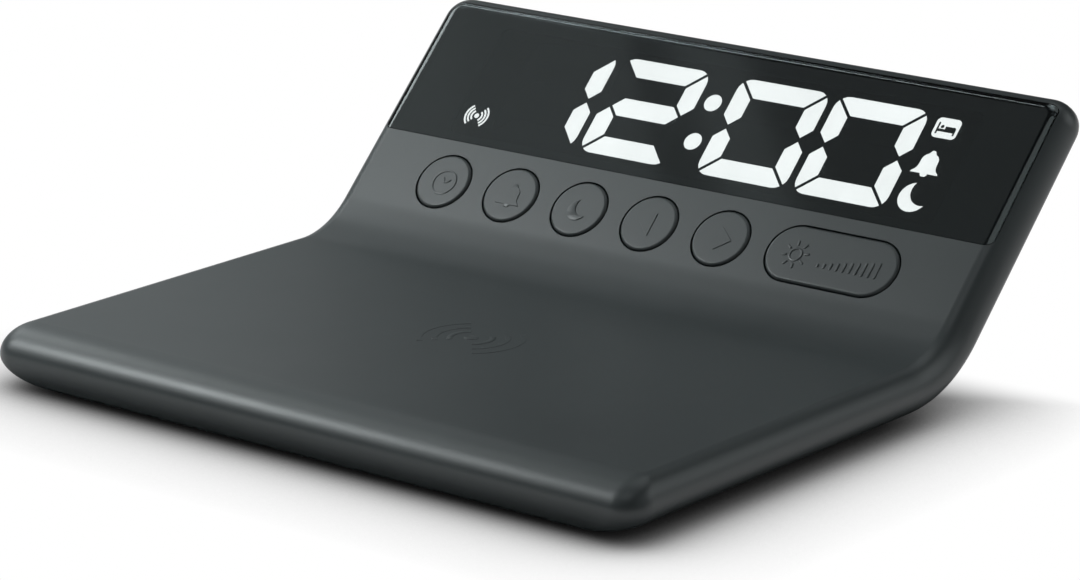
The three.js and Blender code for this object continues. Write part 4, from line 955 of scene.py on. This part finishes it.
class CLOCK_OT_lens(ClockOperator, bpy.types.Operator):
    """Builds the smoked lens, cut from the slab so that it follows the rounded edge"""

    bl_idname = "clock.lens"
    bl_label = "Display Lens"

    def execute(self, context):
        sizes, colours = context.scene.clock_sizes, context.scene.clock_colours
        lens = slab(sizes, "lens")
        sheet = prism("sheet", lens_outline(sizes, 0), -sizes.lens, MM)
        carve(lens, "INTERSECT", [sheet])
        bend(lens, sizes, smoked_acrylic(colours))
        finish_piece(lens, HOUSING, ["display_lens"], [sheet])
        return {"FINISHED"}


class CLOCK_OT_display(ClockOperator, bpy.types.Operator):
    """Builds the lit and unlit strokes behind the lens and the signs beside them"""

    bl_idname = "clock.display"
    bl_label = "Display"

    def execute(self, context):
        sizes, colours = context.scene.clock_sizes, context.scene.clock_colours
        margin, root, sunk = 0.04 * MM, -5 * MM, 0.1 * MM
        lit, unlit = [], []
        for left, shown in DIGITS:
            for key, outline in digit_strokes(sizes, left * MM, margin).items():
                (lit if key in shown else unlit).append(outline)
        middle = on_panel(sizes, sizes.digit_base + sizes.digit_height / 2)
        colon_x, colon_reach, colon_radius = -1.4 * MM, 5.15 * MM, 2.16 * MM
        lit += [disc(colon_x, middle + side * colon_reach, colon_radius) for side in (-1, 1)]
        glow = lit_diffuser(colours)
        strokes = relief("lit_strokes", lit, root, -sizes.display_depth)
        finish_piece(bend(strokes, sizes, glow), HOUSING, ["light_guide"])
        # Light guide with its lamp off, painted nearly black as painted shade for the dark behind the lens, though the
        # guide itself is milky; it has a dull moulded face
        dark = grained("unlit_diffuser", linear("#0b0c0c"), roughness=0.5, grain=0.4 * MM, relief_depth=0.005 * MM)
        blanks = relief("unlit_strokes", unlit, root, -sizes.display_depth - sunk)
        finish_piece(bend(blanks, sizes, dark), HOUSING)

        column, base = 57.55 * MM, on_panel(sizes, 0.5 * MM)
        bed = bed_sign(width=6.05 * MM, height=5 * MM, corner=1.1 * MM)
        charge = charging_sign([r * MM for r in (1.4, 2.25, 3.05)], width=0.4 * MM, half_angle=52, dot=0.6 * MM)
        signs = moved(bed, column + 0.33 * MM, base + 53.77 * MM)
        signs += moved(bell_sign(6.8 * MM), column + 0.2 * MM, base + 44.6 * MM)
        signs += moved(moon_sign(7.2 * MM), column + 0.6 * MM, base + 36.11 * MM)
        signs += moved(charge, -60.2 * MM, base + 35.55 * MM)
        windows = relief("lit_signs", signs, low=-2.3 * MM, high=-2.02 * MM, soft=0.01 * MM)
        finish_piece(bend(windows, sizes, glow), HOUSING)
        return {"FINISHED"}


class CLOCK_OT_keys(ClockOperator, bpy.types.Operator):
    """Builds the six keys with their raised signs"""

    bl_idname = "clock.keys"
    bl_label = "Keys"

    def execute(self, context):
        sizes, colours = context.scene.clock_sizes, context.scene.clock_colours
        coat = soft_touch("soft_touch_keys", colours.key)
        centre = on_panel(sizes, sizes.key_rise)
        sun = sun_sign(6.4 * MM, width=0.4 * MM)
        level = level_sign(3.4 * MM, count=10, width=0.55 * MM, pitch=1.6 * MM)
        signs = {
            "time_key": clock_sign(6.4 * MM, width=0.35 * MM),
            "alarm_key": bell_sign(6.2 * MM),
            "nap_key": moved(moon_sign(5.1 * MM), -0.45 * MM, -0.2 * MM),
            "minus_key": arrow_sign(6 * MM, side=-1),
            "plus_key": arrow_sign(6 * MM, side=1),
            "snooze_key": moved(sun, -9.4 * MM, 0) + moved(level, 4.2 * MM, 0),
        }
        sign_right, sign_drop, sign_root = 0.45 * MM, 0.3 * MM, 0.1 * MM
        face = sizes.key_proud
        for name, x, stretch in key_places(sizes):
            cap = new_piece(f"{name}_cap", [(x, centre, 0)])
            run_tree(
                cap, cap_tree(), Radius=sizes.key_radius, Stretch=stretch, Height=face, Edge=sizes.key_round,
                Body=sizes.key_body, Turn=(0, 0, 0), Material=coat,
            )
            finish_piece(bend(cap, sizes, coat), name, [name])
            drawn = moved(signs[name], x + sign_right, centre - sign_drop)
            mark = relief(f"{name}_sign", drawn, face - sign_root, face + sizes.sign_height)
            finish_piece(bend(mark, sizes, coat), name)
        return {"FINISHED"}


class CLOCK_OT_insides(ClockOperator, bpy.types.Operator):
    """Gives the pieces inside the clock their finishes"""

    bl_idname = "clock.insides"
    bl_label = "Insides"

    def execute(self, context):
        nodes = frame["nodes"]
        switches = [n for n in nodes if n.endswith(("_switch", "_plunger", "_socket"))]
        # Nylon moulded with glass fibre: nearly black, with the same even grain as the underside
        dress(moulded_abs("moulded_nylon", linear("#161718")), [*switches, "coil_tray", "buzzer"])
        for name, code, roughness, grain, relief_depth, dressed in (
            # Sprayed mask: so black and matt that nothing round the strokes shows through the lens
            ("matt_black_mask", "#08090a", 0.8, 0.4 * MM, 0.01 * MM, ["segment_mask"]),
            # Lacquer over a copper-clad board: dark green, half gloss, swelling a little over the tracks
            ("solder_mask", "#1b4a34", 0.35, 1.5 * MM, 0.01 * MM, ["display_board", "main_board"]),
            # Fired ferrite: dull dark grey, rough as unglazed pottery
            ("ferrite_ceramic", "#3a3b3d", 0.8, 0.5 * MM, 0.02 * MM, ["ferrite_sheet"]),
            # Polyester film over flat wires: pale satin that rises and falls at the wires' pitch of 1.27 mm
            ("polyester_ribbon", "#d9dad6", 0.45, 1.27 * MM, 0.02 * MM, ["ribbon_cable"]),
        ):
            dress(grained(name, linear(code), roughness, grain, relief_depth), dressed)
        screws = [n for n in nodes if n.startswith(("display_board_screw", "main_board_screw"))]
        for name, code, roughness, scratch, dressed in (
            # Copper wire under clear enamel: reddish brown, with a soft metal shine
            ("enamelled_copper", "#b5713f", 0.35, 0.3 * MM, ["charging_coil"]),
            # Nickel plated on spring strip: a bright, warm grey with fine rolling marks
            ("nickel_plate", "#c4c1b8", 0.28, 0.2 * MM, ["cell_roof_contact", "cell_door_contact"]),
            # Bare drawn steel: a plain bright grey, a little duller than plate
            ("bright_screw_steel", "#b4b6b8", 0.32, 0.2 * MM, screws),
        ):
            dress(metal(name, code, roughness, scratch), dressed)
        return {"FINISHED"}


# Studio lamps, all turned to the clock: name, place and sides in metres, power in watts
LAMPS = (
    ("back_softbox", (0.7, 0.6, 0.5), (0.6, 0.6), 1.7),
    ("high_back_softbox", (0, 0.4, 0.9), (0.6, 0.6), 1.03),
    ("high_left_softbox", (-0.95, -0.4, 0.8), (0.8, 0.8), 0.73),
    ("high_front_softbox", (-0.575, -0.25, 1.1), (0.3, 0.3), 0.084),
    ("overhead_softbox", (0.16, -0.4, 0.9), (0.4, 0.4), 0.6),
    ("left_softbox", (-0.9, 0, 0.6), (0.6, 0.6), 0.113),
    ("right_softbox", (0.75, -0.05, 0.5), (0.4, 0.4), 0.2),
    ("near_left_lamp", (-0.35, -0.1, 0.3), (0.25, 0.25), 0.049),
    ("panel_sheen_lamp", (-0.4, 0.05, 0.28), (0.12, 0.12), 0.22),
    ("pad_sheen_lamp", (-0.9, 0.6, 0.35), (0.5, 0.5), 0.39),
    ("bend_sheen_lamp", (-0.35, 0.2, 0.32), (0.2, 0.2), 0.07),
    ("front_edge_lamp", (-0.42, -0.26, 0.45), (0.2, 0.2), 0.62),
    ("front_corner_lamp", (-0.3, -0.185, 0.29), (0.1, 0.1), 0.42),
    ("low_front_left_lamp", (-0.32, -0.36, 0.36), (0.25, 0.25), 0.4),
    ("lens_rim_lamp", (-0.525, 0.1, 0.777), (0.06, 0.34), 0.28),
)


class CLOCK_OT_stage(ClockOperator, bpy.types.Operator):
    """Builds the floor, the light and the camera"""

    bl_idname = "clock.stage"
    bl_label = "Stage"

    def execute(self, context):
        sizes, colours = context.scene.clock_sizes, context.scene.clock_colours
        half = 3.0
        corners = [(x * half, y * half, 0) for x, y in ((-1, -1), (1, -1), (1, 1), (-1, 1))]
        floor = new_piece("floor", corners, [(0, 1, 2, 3)])
        floor.data.materials.append(self.table(colours))
        self.world(context)
        for row in LAMPS:
            self.softbox(context, colours, *row)
        self.camera(context, sizes)
        context.scene.view_settings.view_transform = "Standard"
        return {"FINISHED"}

    def table(self, colours):
        """Pale matt table; seen directly, in gloss and through glass it glows plain white, with a painted shadow that
        dims the glow where the clock closes it in.
        """
        material, tree, place = new_material("matt_white_table")
        path = add_node(tree, "ShaderNodeLightPath").outputs
        open_sky = add_node(tree, "ShaderNodeAmbientOcclusion", {"Distance": 30 * MM}, samples=16)
        # Painted shadow: gloss shows it deeper than the camera does
        depth = add_node(tree, "ShaderNodeMapRange", {"Value": path["Is Camera Ray"], "To Min": 5.0, "To Max": 2.0})
        dim = add_node(tree, "ShaderNodeMath", {0: open_sky.outputs["AO"], 1: depth.outputs[0]}, operation="POWER")
        # Behind the panel's foot the painted shadow fades out further back along the table
        back = add_node(tree, "ShaderNodeSeparateXYZ", {"Vector": place}).outputs["Y"]
        shadow_fade_behind = add_node(tree, "ShaderNodeMapRange", {
            "Value": back, "From Min": 34 * MM, "From Max": 60 * MM, "To Min": 0.0, "To Max": 1.0,
        }, interpolation_type="SMOOTHSTEP")
        shade = add_node(tree, "ShaderNodeMath", {0: dim.outputs[0], 1: shadow_fade_behind.outputs[0]}, operation="MAXIMUM")
        seen = path["Is Camera Ray"]
        for ray in ("Is Glossy Ray", "Is Transmission Ray"):
            seen = add_node(tree, "ShaderNodeMath", {0: seen, 1: path[ray]}, operation="MAXIMUM").outputs[0]
        matt = add_node(tree, "ShaderNodeBsdfPrincipled", {
            "Base Color": (*colours.floor, 1), "Roughness": 0.85, "Specular IOR Level": 0.2,
        })
        # White glow whose strength is the painted shadow
        plain = add_node(tree, "ShaderNodeEmission", {"Color": (1, 1, 1, 1), "Strength": shade.outputs[0]})
        mixed = add_node(tree, "ShaderNodeMixShader", {0: seen, 1: matt.outputs[0], 2: plain.outputs[0]})
        return close_material(material, mixed)

    def world(self, context):
        """Dim studio with a low white backdrop, which gloss and glass show as well as the camera."""
        world = bpy.data.worlds.new("studio")
        world.use_nodes = True
        tree = world.node_tree
        tree.nodes.clear()
        path = add_node(tree, "ShaderNodeLightPath").outputs
        rays = {0: path["Is Glossy Ray"], 1: path["Is Transmission Ray"]}
        shown = add_node(tree, "ShaderNodeMath", rays, operation="MAXIMUM")
        outward = add_node(tree, "ShaderNodeTexCoord").outputs["Generated"]
        rise = add_node(tree, "ShaderNodeSeparateXYZ", {"Vector": outward}).outputs["Z"]
        low = add_node(tree, "ShaderNodeMapRange", {
            "Value": rise, "From Min": 0.03, "From Max": 0.1, "To Min": 1.0, "To Max": 0.0,
        })
        backdrop = add_node(tree, "ShaderNodeMath", {0: shown.outputs[0], 1: low.outputs[0]}, operation="MULTIPLY")
        seen = add_node(tree, "ShaderNodeMath", {0: path["Is Camera Ray"], 1: backdrop.outputs[0]}, operation="MAXIMUM")
        level = add_node(tree, "ShaderNodeMapRange", {"Value": seen.outputs[0], "To Min": 0.04, "To Max": 1.0})
        air = add_node(tree, "ShaderNodeBackground", {"Color": (1, 1, 1, 1), "Strength": level.outputs[0]})
        add_node(tree, "ShaderNodeOutputWorld", {"Surface": air.outputs[0]})
        context.scene.world = world

    def softbox(self, context, colours, name, place, sides, power):
        """Lamp that faces the clock."""
        lamp = bpy.data.lights.new(name, "AREA")
        lamp.shape = "RECTANGLE"
        lamp.size, lamp.size_y = sides
        lamp.energy = power
        lamp.color = colours.lamp
        held = bpy.data.objects.new(name, lamp)
        held.location = place
        held.visible_camera = False
        held.rotation_euler = (-Vector(place)).to_track_quat("-Z", "Y").to_euler()
        context.scene.collection.objects.link(held)

    def camera(self, context, sizes):
        """Camera at the photograph's angle; its place is measured from the crease in its own axes."""
        yaw, pitch, roll = (math.radians(v) for v in (38.396, 15.88, 0.212))
        distance, right_of_axis, over_axis = 942.65 * MM, -16.25 * MM, 0.085 * MM
        right = Vector((math.cos(yaw), math.sin(yaw), 0))
        back = Vector((math.sin(yaw) * math.cos(pitch), -math.cos(yaw) * math.cos(pitch), math.sin(pitch)))
        up = back.cross(right)
        right, up = math.cos(roll) * right + math.sin(roll) * up, math.cos(roll) * up - math.sin(roll) * right
        crease = bend_place(sizes) + Vector((0, crease_to_bend(sizes), 0))
        lens = bpy.data.cameras.new("camera")
        lens.sensor_fit = "HORIZONTAL"
        lens.sensor_width = 36
        lens.lens = 145.86
        lens.clip_start, lens.clip_end = 0.01, 20
        eye = bpy.data.objects.new("camera", lens)
        axes = Matrix((right, up, back)).transposed().to_4x4()
        eye.matrix_world = Matrix.Translation(crease + right * right_of_axis + up * over_axis + back * distance) @ axes
        context.scene.collection.objects.link(eye)
        context.scene.camera = eye


OPERATORS = (
    CLOCK_OT_shell, CLOCK_OT_lower_shell, CLOCK_OT_feet, CLOCK_OT_screws, CLOCK_OT_lens, CLOCK_OT_display,
    CLOCK_OT_keys, CLOCK_OT_insides, CLOCK_OT_stage,
)


class CLOCK_PT_panel(bpy.types.Panel):
    """Lists the clock's pieces in the sidebar"""

    bl_idname = "CLOCK_PT_panel"
    bl_label = "Charging Alarm Clock"
    bl_space_type = "VIEW_3D"
    bl_region_type = "UI"
    bl_category = "Clock"

    def draw(self, context):
        for operator in OPERATORS:
            self.layout.operator(operator.bl_idname)
        for group in (context.scene.clock_sizes, context.scene.clock_colours):
            for name in group.bl_rna.properties.keys():
                if name not in ("rna_type", "name"):
                    self.layout.prop(group, name)


CLASSES = (ClockSizes, ClockColours, *OPERATORS, CLOCK_PT_panel)


def register():
    """Registers the classes and gives the scene the sizes and colours."""
    for made in CLASSES:
        bpy.utils.register_class(made)
    bpy.types.Scene.clock_sizes = PointerProperty(type=ClockSizes)
    bpy.types.Scene.clock_colours = PointerProperty(type=ClockColours)


def unregister():
    """Takes back what register adds."""
    del bpy.types.Scene.clock_colours
    del bpy.types.Scene.clock_sizes
    for made in reversed(CLASSES):
        bpy.utils.unregister_class(made)


def main():
    """Builds the clock and its stage."""
    register()
    for operator in OPERATORS:
        group, name = operator.bl_idname.split(".")
        getattr(getattr(bpy.ops, group), name)()


if __name__ == "__main__":
    main()
